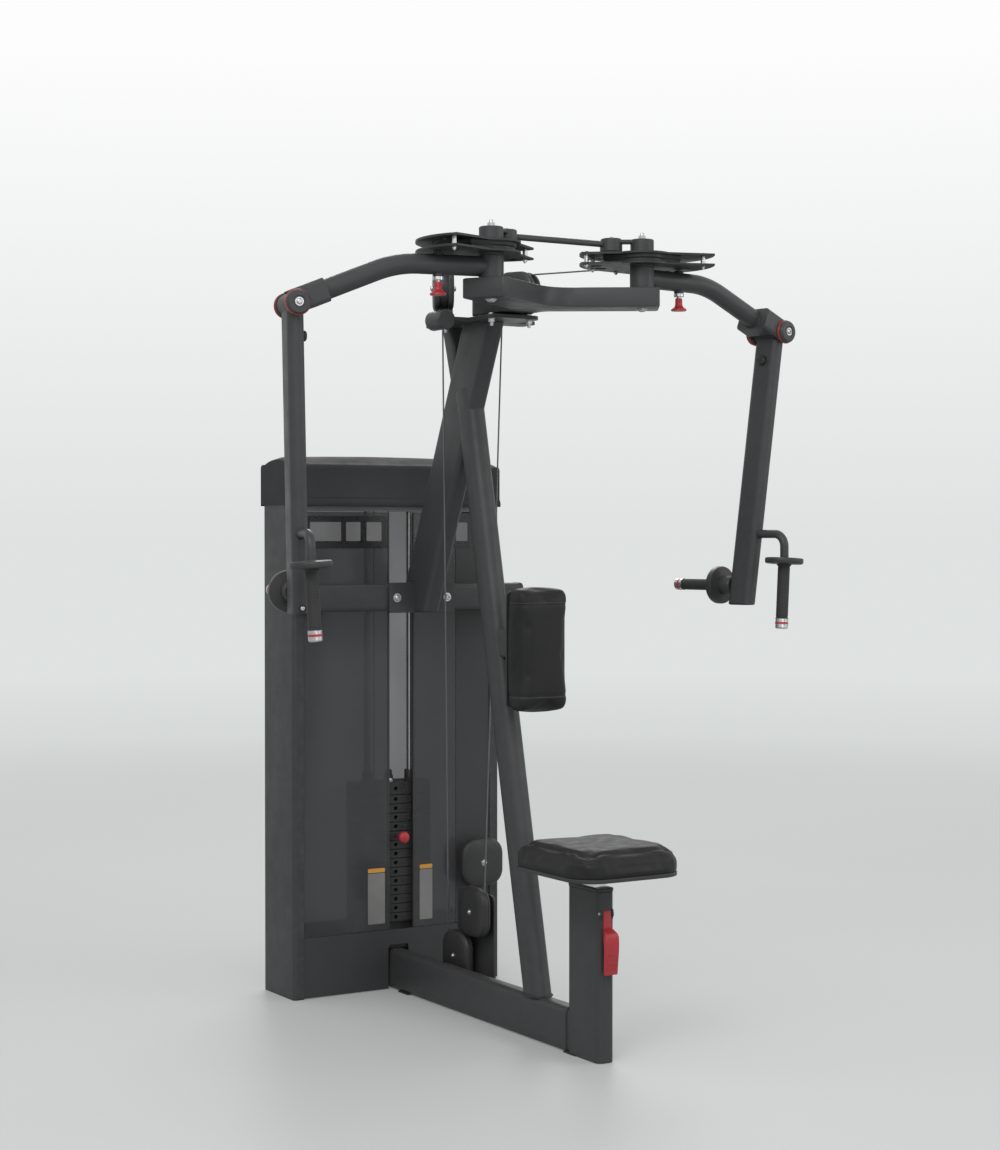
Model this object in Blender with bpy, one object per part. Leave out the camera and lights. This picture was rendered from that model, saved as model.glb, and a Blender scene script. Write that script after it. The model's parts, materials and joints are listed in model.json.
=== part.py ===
"""Pec deck machine with a weight stack: one object per sub-part, in metres, +Z up.

The user sits at -Y and faces -Y. The weight tower stands at +Y.
X is the machine's width and x = 0 its mirror plane.
"""

import math

import bmesh
import bpy
from mathutils import Matrix, Vector

GAP = 0.0003
TUBE_WIDTH = 0.050
TUBE_DEPTH = 0.120
TUBE_CORNER = 0.016

# Base and seat post
BEAM_HEIGHT = 0.115
BEAM_END_Y = 0.670
POST_Y = -0.481
POST_TOP = 0.425
POST_WALL = 0.0045
STEM_WIDTH = 0.038
STEM_DEPTH = 0.104
STEM_TOP = 0.4640

# Seat and back pad
SEAT_FRONT_Y = -0.700
SEAT_REAR_Y = -0.360
SEAT_WIDTH = 0.330
SEAT_BOTTOM = 0.475
SEAT_TOP = 0.548
PAD_WIDTH = 0.160
PAD_BOTTOM = 0.849
PAD_TOP = 1.175
PAD_FRONT_Y = -0.284
PAD_BACK_Y = -0.208

# Seat lever and its lock pin
LEVER_PIVOT = Vector((0.0, -0.556, 0.372))
LOCK_Z = 0.312

# Mast, struts and crossbar
CROSSBAR_Y = (0.3725, 0.4275)
CROSSBAR_Z = (1.0955, 1.1705)
CROSSBAR_HALF = 0.345
MAST_FOOT = Vector((0.0, 0.369, 1.125))
MAST_LEAN = -0.452
MAST_BOTTOM = 1.0955
MAST_TOP = 1.8765
STRUT_FOOT = Vector((0.0, -0.245, 0.115))
STRUT_HEAD = Vector((0.0, 0.102, 1.690))
STRUT_WIDTH = 0.060
STRUT_DEPTH = 0.082

# Weight tower
TOWER_FRONT_Y = 0.500
TOWER_HALF = 0.3375
COLUMN_BACK_Y = 0.6957
COLUMN_TOP = 1.490
COLUMN_WALL = 0.003
COLUMN_STRIP = 0.032
COLUMN_SEAM_HALF = 0.0005
HEADER_HALF = 0.3425
HEADER_FRONT_Y = 0.494
HEADER_BACK_Y = 0.700
HEADER_BOTTOM = 1.392
HEADER_SHOULDER = 1.510
HEADER_CROWN = 1.536
HEADER_WALL = 0.0035
PANEL_Y = 0.5035
PANEL_HALF = 0.325
PANEL_TOP = 1.3745
SLOT_X = (-0.032, 0.050)
KICK_TOP = 0.171

# Weight stack
STACK_Y = 0.5635
STACK_HALF_WIDTH = 0.1175
STACK_HALF_DEPTH = 0.045
STACK_TRAVEL_TOP = 1.3897
BRIDGE_Z = (1.400, 1.420)
HEADER_PULLEY_RADIUS = 0.045
HEADER_PULLEY = Vector((0.0, STACK_Y + HEADER_PULLEY_RADIUS, 1.466))
STACK_BASE_TOP = 0.150
STACK_BOTTOM = 0.190
PLATE_PITCH = 0.0263
TOP_PLATE_TOP = 0.594
LIFTED_PLATES = 5
PLATE_COUNT = 14
ROD_X = 0.070
ROD_RADIUS = 0.010

# Head: pivots, yoke, cams
PIVOT_X = 0.228
PIVOT_Y = -0.388
YOKE_Z = (1.893, 1.943)
HORN_RUN = (0.834, -0.550)
HORN_WIDTH = 0.120
HORN_PAST_PIVOT = 0.044
CROTCH_RADIUS = 0.100
STEM_HALF = 0.050
STEM_REAR_Y = 0.0245
ARM_HUB_Z = (1.9433, 1.9995)
CAM_HUB_Z = (1.9998, 2.0365)
CAP_Z = (2.0368, 2.0730)
HUB_RADIUS = 0.0315
SHAFT_RADIUS = 0.0125
DRUM_RADIUS = 0.100
CABLE_Z = 2.015
CABLE_RADIUS = 0.0022
TIE_BOSS = (0.0686, 0.0412)
TIE_BOSS_RADIUS = 0.029
CAM_PLATES_Z = ((2.0045, 2.0095), (2.0300, 2.0355))
HEAD_PULLEY = Vector((0.118, 0.040, 1.966))
WING_REACH_LEFT = 0.150
WING_REACH_RIGHT = 0.138
ROLLER_ENDS = ((-0.146, -0.030, 1.878), (-0.146, 0.046, 1.878))
ROLLER_RADIUS = 0.026
HEAD_PULLEY_RADIUS = 0.0515
GUARD_HALF = 0.0580
GUARD_CORNER = 0.040

# Arms, at rest 11 degrees behind the x axis
ARM_ANGLE = math.radians(11.0)
ARM_TUBE_RADIUS = 0.025
ARM_Z = 1.9725
BEND_REACH = 0.245
ELBOW_REACH = 0.508
ELBOW_Z = 1.862
PIN_REACH = 0.139
LOWER_ARM_BOTTOM = 1.112
LOWER_ARM_WIDTH = 0.042
LOWER_ARM_DEPTH = 0.078
HANDLE_Z = 1.170
BRACKET_Z = 1.312

# Base pulleys, beside the beam and on the tower's front
BASE_PULLEY_HALF = 0.069
BASE_PULLEY_CORNER = 0.046
BASE_PULLEY_STAND = 0.030
BASE_PULLEYS = {
    "base_pulley_cover_2": Vector((0.065, 0.185, 0.262)),
    "base_pulley_cover_3": Vector((0.065, 0.275, 0.126)),
}
TOWER_PULLEY = Vector((0.250, 0.456, 0.352))

CHARCOAL = ("charcoal_paint", (0.050, 0.051, 0.053), 0.45, 0.2)
PLASTIC = ("black_plastic", (0.016, 0.016, 0.017), 0.50, 0.0)
RUBBER = ("black_rubber", (0.010, 0.010, 0.010), 0.85, 0.0)
UPHOLSTERY = ("black_upholstery", (0.018, 0.018, 0.019), 0.60, 0.0)
STEEL = ("bright_steel", (0.60, 0.60, 0.61), 0.25, 1.0)
RED = ("red_plastic", (0.45, 0.020, 0.025), 0.45, 0.0)
SMOKED = ("smoked_sheet", (0.045, 0.045, 0.048), 0.15, 0.0)
IRON = ("stack_iron", (0.020, 0.020, 0.022), 0.55, 0.6)


def clear_scene():
    for obj in list(bpy.data.objects):
        bpy.data.objects.remove(obj, do_unlink=True)


def material(spec):
    name, colour, roughness, metallic = spec
    found = bpy.data.materials.get(name)
    if found:
        return found
    made = bpy.data.materials.new(name)
    made.use_nodes = True
    shader = made.node_tree.nodes["Principled BSDF"]
    shader.inputs["Base Color"].default_value = (*colour, 1.0)
    shader.inputs["Roughness"].default_value = roughness
    shader.inputs["Metallic"].default_value = metallic
    return made


def mesh_object(name, points, faces):
    mesh = bpy.data.meshes.new(name)
    mesh.from_pydata([tuple(p) for p in points], [], faces)
    work = bmesh.new()
    work.from_mesh(mesh)
    bmesh.ops.recalc_face_normals(work, faces=work.faces)
    work.to_mesh(mesh)
    work.free()
    obj = bpy.data.objects.new(name, mesh)
    bpy.context.scene.collection.objects.link(obj)
    return obj


def combine(target, tool, operation):
    """Applies one exact Boolean to target and removes the tool."""
    modifier = target.modifiers.new("combine", "BOOLEAN")
    modifier.operation = operation
    modifier.solver = "EXACT"
    modifier.object = tool
    graph = bpy.context.evaluated_depsgraph_get()
    result = bpy.data.meshes.new_from_object(target.evaluated_get(graph))
    target.modifiers.clear()
    target.data = result
    bpy.data.objects.remove(tool, do_unlink=True)
    return target


def fuse(target, tool):
    return combine(target, tool, "UNION")


def cut(target, tool):
    return combine(target, tool, "DIFFERENCE")


def circle(radius, steps=16):
    turns = [2 * math.pi * i / steps for i in range(steps)]
    return [(radius * math.cos(a), radius * math.sin(a)) for a in turns]


def rounded_rectangle(width, depth, radius, steps=3):
    """Outline centred on the origin, width along its first axis, with quarter-circle corners."""
    outline = []
    corners = ((1, 1, 0), (-1, 1, 90), (-1, -1, 180), (1, -1, 270))
    for sx, sy, start in corners:
        for i in range(steps + 1):
            turn = math.radians(start + 90 * i / steps)
            x = sx * (width / 2 - radius) + radius * math.cos(turn)
            y = sy * (depth / 2 - radius) + radius * math.sin(turn)
            outline.append((x, y))
    return outline


def arc(centre, radius, start, end, steps):
    """Points on a circle in plan, from start to end in degrees."""
    points = []
    for i in range(steps + 1):
        turn = math.radians(start + (end - start) * i / steps)
        points.append((centre[0] + radius * math.cos(turn), centre[1] + radius * math.sin(turn)))
    return points


def sweep(name, outline, path, up=(0, 0, 1)):
    """Closed tube of the outline along the path; the outline's second axis leans towards up."""
    path = [Vector(p) for p in path]
    count = len(outline)
    points = []
    for i, centre in enumerate(path):
        before = (centre - path[i - 1]).normalized() if i else None
        after = (path[i + 1] - centre).normalized() if i + 1 < len(path) else None
        run = after or before
        middle = (before + after).normalized() if before and after else run
        side = run.cross(Vector(up)).normalized()
        rise = side.cross(run).normalized()
        for u, v in outline:
            offset = side * u + rise * v
            slide = -offset.dot(middle) / run.dot(middle)
            points.append(centre + offset + run * slide)
    faces = [list(range(count))[::-1]]
    for ring in range(len(path) - 1):
        low = ring * count
        for j in range(count):
            k = (j + 1) % count
            faces.append([low + j, low + k, low + count + k, low + count + j])
    faces.append(list(range(len(points) - count, len(points))))
    return mesh_object(name, points, faces)


def cylinder(name, start, end, radius, steps=16):
    run = Vector(end) - Vector(start)
    up = (1, 0, 0) if abs(run.normalized().z) > 0.9 else (0, 0, 1)
    return sweep(name, circle(radius, steps), [start, end], up)


def block(name, low, high, corner=0.0, steps=2):
    """Box between two corners; corner rounds its vertical edges."""
    width = high[0] - low[0]
    depth = high[1] - low[1]
    centre = Vector(((low[0] + high[0]) / 2, (low[1] + high[1]) / 2, 0))
    if corner:
        outline = rounded_rectangle(width, depth, corner, steps)
    else:
        corners = ((1, 1), (-1, 1), (-1, -1), (1, -1))
        outline = [(u * width / 2, v * depth / 2) for u, v in corners]
    return plate(name, [(centre.x + x, centre.y + y) for x, y in outline], low[2], high[2])


def plate(name, outline, bottom, top):
    """Plan outline raised from bottom to top."""
    count = len(outline)
    points = [(x, y, bottom) for x, y in outline] + [(x, y, top) for x, y in outline]
    faces = [list(range(count))[::-1], list(range(count, 2 * count))]
    for j in range(count):
        k = (j + 1) % count
        faces.append([j, k, count + k, count + j])
    return mesh_object(name, points, faces)


def turned(name, profile, base, axis, steps=24):
    """Solid of revolution: profile of (radius, height) pairs about the axis through base."""
    axis = Vector(axis).normalized()
    side = axis.orthogonal().normalized()
    across = axis.cross(side)
    points = []
    rings = []
    for radius, height in profile:
        centre = Vector(base) + axis * height
        if radius < 1e-6:
            rings.append([len(points)] * steps)
            points.append(centre)
            continue
        rings.append(list(range(len(points), len(points) + steps)))
        for i in range(steps):
            turn = 2 * math.pi * i / steps
            points.append(centre + radius * (side * math.cos(turn) + across * math.sin(turn)))
    faces = []
    closed = profile[0][0] > 1e-6
    pairs = list(zip(rings, rings[1:]))
    if closed:
        pairs.append((rings[-1], rings[0]))
    for lower, upper in pairs:
        for j in range(steps):
            k = (j + 1) % steps
            corners = [lower[j], lower[k], upper[k], upper[j]]
            face = [c for n, c in enumerate(corners) if c not in corners[:n]]
            if len(face) > 2:
                faces.append(face)
    return mesh_object(name, points, faces)


def polar(side, angle, reach, z):
    """Point at that reach and angle from a pivot; side is 1 on the right and -1 on the left."""
    return Vector((side * (PIVOT_X + reach * math.cos(angle)), PIVOT_Y + reach * math.sin(angle), z))


def finish(obj, spec, body=None):
    """Gives the sub-part its material, smooth shading and, if it moves, the empty on its joint's axis."""
    obj.data.materials.clear()
    obj.data.materials.append(material(spec))
    obj.data.shade_smooth()
    obj.data.set_sharp_from_angle(angle=math.radians(35))
    if body:
        obj.parent = body
        obj.matrix_parent_inverse = Matrix.Translation(-body.location)
    return obj


def joint_empty(name, location):
    empty = bpy.data.objects.new(name, None)
    empty.location = location
    bpy.context.scene.collection.objects.link(empty)
    return empty


def mast_point(z):
    return Vector((0.0, MAST_FOOT.y + MAST_LEAN * (z - MAST_FOOT.z), z))


def tube_outline(grow=0.0):
    return rounded_rectangle(TUBE_WIDTH + grow, TUBE_DEPTH + grow, TUBE_CORNER + grow / 2)


def make_base():
    beam_outline = rounded_rectangle(TUBE_WIDTH, BEAM_HEIGHT, TUBE_CORNER)
    middle_z = BEAM_HEIGHT / 2
    beam = sweep("base_beam", beam_outline, [(0, POST_Y + 0.045, middle_z), (0, BEAM_END_Y, middle_z)])
    post_shape = rounded_rectangle(TUBE_WIDTH + 2 * GAP, TUBE_DEPTH + 2 * GAP, TUBE_CORNER + GAP)
    cut(beam, plate("post_shape", [(x, y + POST_Y) for x, y in post_shape], -0.1, 0.6))
    finish(beam, CHARCOAL)

    post = plate("seat_post", [(x, y + POST_Y) for x, y in tube_outline()], 0.0, POST_TOP)
    walls = 2 * POST_WALL
    inner = rounded_rectangle(TUBE_WIDTH - walls, TUBE_DEPTH - walls, TUBE_CORNER - POST_WALL)
    cut(post, plate("inner", [(x, y + POST_Y) for x, y in inner], 0.06, POST_TOP + 0.05))
    nose = POST_Y - TUBE_DEPTH / 2
    cut(post, cylinder("lock_hole", (0, nose - 0.02, LOCK_Z), (0, nose + 0.02, LOCK_Z), 0.0085, 16))
    for x in (-0.019, 0.013):
        ear = 0.006
        ear_low = (x, LEVER_PIVOT.y - 0.008, LEVER_PIVOT.z - 0.012)
        fuse(post, block("ear", ear_low, (x + ear, nose + 0.002, LEVER_PIVOT.z + 0.012)))
    finish(post, CHARCOAL)

    collar_outer = rounded_rectangle(TUBE_WIDTH, TUBE_DEPTH, TUBE_CORNER)
    collar_outline = [(x, y + POST_Y) for x, y in collar_outer]
    collar = plate("seat_collar", collar_outline, POST_TOP + GAP, POST_TOP + 0.007)
    shrink = 2 * POST_WALL + 0.001
    sleeve = rounded_rectangle(TUBE_WIDTH - shrink, TUBE_DEPTH - shrink, TUBE_CORNER - POST_WALL)
    fuse(collar, plate("sleeve", [(x, y + POST_Y) for x, y in sleeve], POST_TOP - 0.035, POST_TOP + 0.006))
    bore = rounded_rectangle(STEM_WIDTH + 0.0008, STEM_DEPTH + 0.0008, 0.0124)
    cut(collar, plate("bore", [(x, y + POST_Y) for x, y in bore], 0.3, 0.6))
    finish(collar, PLASTIC)


def make_seat():
    body = joint_empty("seat_slide", (0, POST_Y, STEM_TOP))
    stem_outline = [(x, y + POST_Y) for x, y in rounded_rectangle(STEM_WIDTH, STEM_DEPTH, 0.012)]
    stem = plate("seat_stem", stem_outline, 0.075, STEM_TOP)
    carrier_low = (-0.085, POST_Y - 0.13, STEM_TOP - 0.001)
    fuse(stem, block("carrier", carrier_low, (0.085, POST_Y + 0.09, STEM_TOP + 0.0055), 0.02))
    nose = POST_Y - STEM_DEPTH / 2
    for step in range(7):
        z = LOCK_Z - 0.0275 * step
        cut(stem, cylinder("notch", (0, nose - 0.01, z), (0, nose + 0.018, z), 0.0080, 12))
    finish(stem, STEEL, body)

    half = SEAT_WIDTH / 2
    rear = 0.045
    front = 0.085
    outline = arc((half - rear, SEAT_REAR_Y - rear), rear, 0, 90, 4)
    outline += arc((-half + rear, SEAT_REAR_Y - rear), rear, 90, 180, 4)
    outline += arc((-half + front, SEAT_FRONT_Y + front), front, 180, 270, 6)
    outline += arc((half - front, SEAT_FRONT_Y + front), front, 270, 360, 6)
    bottom = SEAT_BOTTOM - 0.005
    lower = plate("seat_pad", outline, bottom, SEAT_TOP - 0.018)
    centre = Vector((0, (SEAT_FRONT_Y + SEAT_REAR_Y) / 2))
    shrunk = [(centre.x + (x - centre.x) * 0.93, centre.y + (y - centre.y) * 0.93) for x, y in outline]
    pad = fuse(lower, plate("crown", shrunk, bottom + 0.01, SEAT_TOP))
    finish(pad, UPHOLSTERY, body)


def make_lever():
    lever_body = joint_empty("seat_lever_pivot", LEVER_PIVOT)
    _, y, z = LEVER_PIVOT
    side = [(0.010, 0.012), (-0.009, 0.012), (-0.012, -0.040)]
    side += [(-0.020, -0.060), (-0.030, -0.145), (-0.022, -0.150)]
    side += [(-0.010, -0.075), (-0.004, -0.048), (0.010, -0.010)]
    count = len(side)
    widths = (-0.0115, 0.0115)
    points = [(w, y + v, z + h) for w in widths for v, h in side]
    faces = [list(range(count)), list(range(count, 2 * count))[::-1]]
    faces += [[j, (j + 1) % count, count + (j + 1) % count, count + j] for j in range(count)]
    lever = mesh_object("seat_lever", points, faces)
    fuse(lever, block("paddle", (-0.0215, y - 0.0290, z - 0.149), (0.0215, y - 0.0165, z - 0.079), 0.004))
    slot = rounded_rectangle(0.0136, 0.0220, 0.006, 2)
    cut(lever, sweep("pin_slot", slot, [(0, y - 0.06, z - 0.0635), (0, y + 0.03, z - 0.0635)]))
    for w in (-0.0112, 0.0112):
        fuse(lever, cylinder("boss", (w, y, z), (w * 1.12, y, z), 0.006, 12))
    finish(lever, RED, lever_body)

    lock_body = joint_empty("lock_pin_slide", (0, y, LOCK_Z))
    nose = POST_Y - TUBE_DEPTH / 2
    lock = cylinder("lock_pin", (0, y - 0.0225, LOCK_Z), (0, nose + POST_WALL + 0.0025, LOCK_Z), 0.0050, 14)
    finish(lock, STEEL, lock_body)


def make_mast():
    outline = tube_outline()
    mast = sweep("mast", outline, [mast_point(1.02), mast_point(1.95)], up=(0, 1, 0))
    cut(mast, block("below", (-0.2, -0.5, 0.8), (0.2, 0.9, MAST_BOTTOM)))
    cut(mast, block("above", (-0.2, -0.5, MAST_TOP), (0.2, 0.9, 2.2)))
    cut(mast, block("notch", (-0.2, CROSSBAR_Y[0] - 0.0105, 0.9), (0.2, 0.9, 1.1758)))
    finish(mast, CHARCOAL)

    plate_front = CROSSBAR_Y[0] - 0.0102
    foot = block("mast_base_plate", (-0.105, plate_front, 1.0905), (0.105, CROSSBAR_Y[0] - GAP, 1.1755))
    for x in (-0.081, 0.081):
        bolt = [(x, plate_front + y, 1.133) for y in (-0.006, 0.002)]
        fuse(foot, cylinder("bolt", bolt[0], bolt[1], 0.009, 12))
    finish(foot, CHARCOAL)

    y_mid = sum(CROSSBAR_Y) / 2
    z_mid = sum(CROSSBAR_Z) / 2
    bar_outline = rounded_rectangle(CROSSBAR_Y[1] - CROSSBAR_Y[0], CROSSBAR_Z[1] - CROSSBAR_Z[0], 0.014)
    bar = sweep("crossbar", bar_outline, [(-CROSSBAR_HALF, y_mid, z_mid), (CROSSBAR_HALF, y_mid, z_mid)])
    for side in (-1, 1):
        low = (min(side * 0.310, side * 0.336), CROSSBAR_Y[1] - 0.004, CROSSBAR_Z[0] + 0.008)
        high = (max(side * 0.310, side * 0.336), TOWER_FRONT_Y - GAP, CROSSBAR_Z[1] - 0.008)
        fuse(bar, block("standoff", low, high))
    finish(bar, CHARCOAL)

    strut_outline = rounded_rectangle(STRUT_WIDTH, STRUT_DEPTH, 0.028, 4)
    run = (STRUT_HEAD - STRUT_FOOT).normalized()
    strut = sweep("front_strut", strut_outline, [STRUT_FOOT - run * 0.05, STRUT_HEAD], up=(0, 1, 0))
    cut(strut, block("below", (-0.2, -0.6, -0.2), (0.2, 0.3, BEAM_HEIGHT + GAP)))
    cut(strut, sweep("mast_shape", tube_outline(2 * GAP), [mast_point(1.3), mast_point(2.0)], up=(0, 1, 0)))
    finish(strut, CHARCOAL)

    brace_outline = rounded_rectangle(0.044, 0.050, 0.012)
    brace = sweep("rear_brace", brace_outline, [(0, 0.118, 1.64), (0, 0.196, 1.90)], up=(0, 1, 0))
    cut(brace, block("above", (-0.1, -0.1, MAST_TOP), (0.1, 0.4, 2.0)))
    cut(brace, sweep("mast_shape", tube_outline(2 * GAP), [mast_point(1.3), mast_point(2.1)], up=(0, 1, 0)))
    finish(brace, CHARCOAL)


def head_pulley_frame(side):
    """Centre, run of the cable towards the cam, and axis of a head pulley."""
    reach = Vector((PIVOT_X - HEAD_PULLEY.x, PIVOT_Y - HEAD_PULLEY.y))
    turn = math.atan2(reach.y, reach.x) + math.asin(DRUM_RADIUS / reach.length)
    centre = Vector((side * HEAD_PULLEY.x, HEAD_PULLEY.y, HEAD_PULLEY.z))
    run = Vector((side * math.cos(turn), math.sin(turn), 0))
    axis = Vector((side * math.sin(turn), -math.cos(turn), 0))
    return centre, run, axis


def fillet(corner, before, after, radius, steps=4):
    """Points that round the corner of a plan outline between the points before and after it."""
    corner = Vector(corner)
    a = (Vector(before) - corner).normalized()
    b = (Vector(after) - corner).normalized()
    half = a.angle(b) / 2
    centre = corner + (a + b).normalized() * (radius / math.sin(half))
    start = corner + a * (radius / math.tan(half)) - centre
    end = corner + b * (radius / math.tan(half)) - centre
    sweep_angle = math.atan2(start.x * end.y - start.y * end.x, start.dot(end))
    points = []
    for i in range(steps + 1):
        turn = sweep_angle * i / steps
        c = math.cos(turn)
        s = math.sin(turn)
        points.append((centre.x + start.x * c - start.y * s, centre.y + start.x * s + start.y * c))
    return points


def yoke_outline():
    """Plan of the yoke: a stem over the mast that splits into two straight horns, one under each pivot."""
    horn = Vector(HORN_RUN).normalized()
    across = Vector((-horn.y, horn.x))
    tip = Vector((PIVOT_X, PIVOT_Y)) + horn * HORN_PAST_PIVOT
    front = tip - across * HORN_WIDTH / 2
    rear = tip + across * HORN_WIDTH / 2
    crotch = front - horn * (front.x / horn.x)
    shoulder = rear - horn * ((rear.x - STEM_HALF) / horn.x)
    mirrored_front = Vector((-front.x, front.y))
    half = fillet(crotch, mirrored_front, front, CROTCH_RADIUS, 6)[3:]
    half += fillet(front, crotch, rear, 0.008, 1) + fillet(rear, front, shoulder, 0.008, 1)
    half += fillet(shoulder, rear, (STEM_HALF, STEM_REAR_Y), 0.040, 3)
    half += fillet((STEM_HALF, STEM_REAR_Y), shoulder, (0.0, STEM_REAR_Y), 0.030, 3)
    return half + [(-x, y) for x, y in half[::-1] if abs(x) > 1e-6]


def make_head():
    yoke = plate("yoke", yoke_outline(), YOKE_Z[0], YOKE_Z[1])
    fuse(yoke, block("boss", (-0.040, -0.080, 1.8873), (0.040, 0.0145, YOKE_Z[0] + 0.010), 0.012))
    for side in (-1, 1):
        x = side * PIVOT_X
        cut(yoke, cylinder("bore", (x, PIVOT_Y, 1.8), (x, PIVOT_Y, 2.0), SHAFT_RADIUS + GAP, 24))
    finish(yoke, CHARCOAL)

    head = block("head_plate", (-0.075, -0.150, 1.8770), (0.075, 0.230, 1.8870), 0.03, 3)
    for side in (-1, 1):
        centre, run, axis = head_pulley_frame(side)
        reach = WING_REACH_LEFT if side < 0 else WING_REACH_RIGHT
        inner = min(side * 0.060, side * reach)
        outer = max(side * 0.060, side * reach)
        fuse(head, block("wing", (inner, -0.020, 1.8770), (outer, 0.050, 1.8870)))
        for start, end in ((-0.0270, -0.0120), (0.0120, 0.0270)):
            foot = centre + axis * (start + end) / 2 + run * 0.006
            foot.z = 1.880
            stand = rounded_rectangle(0.0100, 0.044, 0.002, 1)
            fuse(head, sweep("stand", stand, [foot, foot + Vector((0, 0, 0.050))], up=run))
            guard = rounded_rectangle(2 * GUARD_HALF, 2 * GUARD_HALF, GUARD_CORNER, 5)
            fuse(head, sweep("guard", guard, [centre + axis * start, centre + axis * end]))
        fuse(head, cylinder("axle", centre - axis * 0.020, centre + axis * 0.020, 0.008, 12))
    fuse(head, cylinder("roller", ROLLER_ENDS[0], ROLLER_ENDS[1], ROLLER_RADIUS, 20))
    finish(head, CHARCOAL)

    for side, word in ((-1, "left"), (1, "right")):
        centre, run, axis = head_pulley_frame(side)
        body = joint_empty("head_pulley_spin_" + word, centre)
        rim = HEAD_PULLEY_RADIUS
        groove = CABLE_Z - HEAD_PULLEY.z - CABLE_RADIUS - 3 * GAP
        profile = [(0.0083, -0.009), (rim, -0.009), (groove, -0.003)]
        profile += [(radius, -height) for radius, height in reversed(profile)]
        finish(turned("head_pulley_" + word, profile, centre, axis, 24), PLASTIC, body)

        x = side * PIVOT_X
        shaft_ends = [(x, PIVOT_Y, z) for z in (YOKE_Z[0] - 0.004, CAP_Z[0] + 0.004)]
        shaft = cylinder("pivot_shaft_" + word, shaft_ends[0], shaft_ends[1], SHAFT_RADIUS, 24)
        fuse(shaft, cylinder("cap", (x, PIVOT_Y, CAP_Z[0]), (x, PIVOT_Y, CAP_Z[1]), 0.030, 24))
        boss_x = x - side * TIE_BOSS[0]
        boss_y = PIVOT_Y + TIE_BOSS[1]
        lug = Vector((boss_x - x, boss_y - PIVOT_Y, 0)).normalized()
        lug_outline = rounded_rectangle(0.034, 0.008, 0.002, 1)
        start = Vector((x, PIVOT_Y, CAP_Z[1] - 0.006)) + lug * 0.010
        fuse(shaft, sweep("lug", lug_outline, [start, (boss_x, boss_y, CAP_Z[1] - 0.006)]))
        boss_top = (boss_x, boss_y, CAP_Z[1] + 0.002)
        fuse(shaft, cylinder("boss", (boss_x, boss_y, 2.0400), boss_top, TIE_BOSS_RADIUS, 24))
        nut_top = (x, PIVOT_Y, CAP_Z[1] + 0.018)
        fuse(shaft, cylinder("nut", (x, PIVOT_Y, CAP_Z[1] - 0.002), nut_top, 0.010, 6))
        finish(shaft, CHARCOAL)

    bar_y = PIVOT_Y + TIE_BOSS[1]
    reach = PIVOT_X - TIE_BOSS[0] - TIE_BOSS_RADIUS - GAP
    bar = cylinder("tie_bar", (-reach, bar_y, 2.058), (reach, bar_y, 2.058), 0.008, 16)
    finish(bar, CHARCOAL)


def cam_outline(side):
    """Plan outline of a cam plate: a wide pin sector on the arm's side, a lobe behind, a plain hub side."""
    outward = math.degrees(ARM_ANGLE)
    points = arc((0, 0), 0.188, outward - 44, outward + 54, 10)
    points += arc((0, 0), 0.162, outward + 104, outward + 152, 6)
    points += arc((0, 0), 0.074, outward + 180, outward + 290, 8)
    return [(side * (PIVOT_X + x), PIVOT_Y + y) for x, y in points]


def drum_outline(side):
    """Plan outline of the groove that the cable wraps round: full radius only where the cable lies."""
    points = arc((0, 0), DRUM_RADIUS - CABLE_RADIUS - GAP, -30, 150, 14)
    points += arc((0, 0), 0.060, 185, 300, 6)
    return [(side * (PIVOT_X + x), PIVOT_Y + y) for x, y in points]


def make_cam(side, word, body):
    x = side * PIVOT_X
    cam = cylinder("cam_" + word, (x, PIVOT_Y, CAM_HUB_Z[0]), (x, PIVOT_Y, CAM_HUB_Z[1]), HUB_RADIUS, 20)
    for low, high in CAM_PLATES_Z:
        fuse(cam, plate("side_plate", cam_outline(side), low, high))
    fuse(cam, plate("drum", drum_outline(side), CAM_PLATES_Z[0][1] - 0.001, CAM_PLATES_Z[1][0] + 0.001))
    for step in range(-1, 5):
        hole = polar(side, ARM_ANGLE + math.radians(15 * step), PIN_REACH, 0)
        cut(cam, cylinder("hole", (hole.x, hole.y, 2.0), (hole.x, hole.y, 2.05), 0.0072, 8))
    cut(cam, cylinder("bore", (x, PIVOT_Y, 1.9), (x, PIVOT_Y, 2.1), SHAFT_RADIUS + GAP, 24))
    return finish(cam, CHARCOAL, body)


def arm_frame(side):
    """Unit vectors along the arm, and across it towards the tower."""
    along = Vector((side * math.cos(ARM_ANGLE), math.sin(ARM_ANGLE), 0))
    across = Vector((-side * math.sin(ARM_ANGLE), math.cos(ARM_ANGLE), 0))
    return along, across


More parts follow.
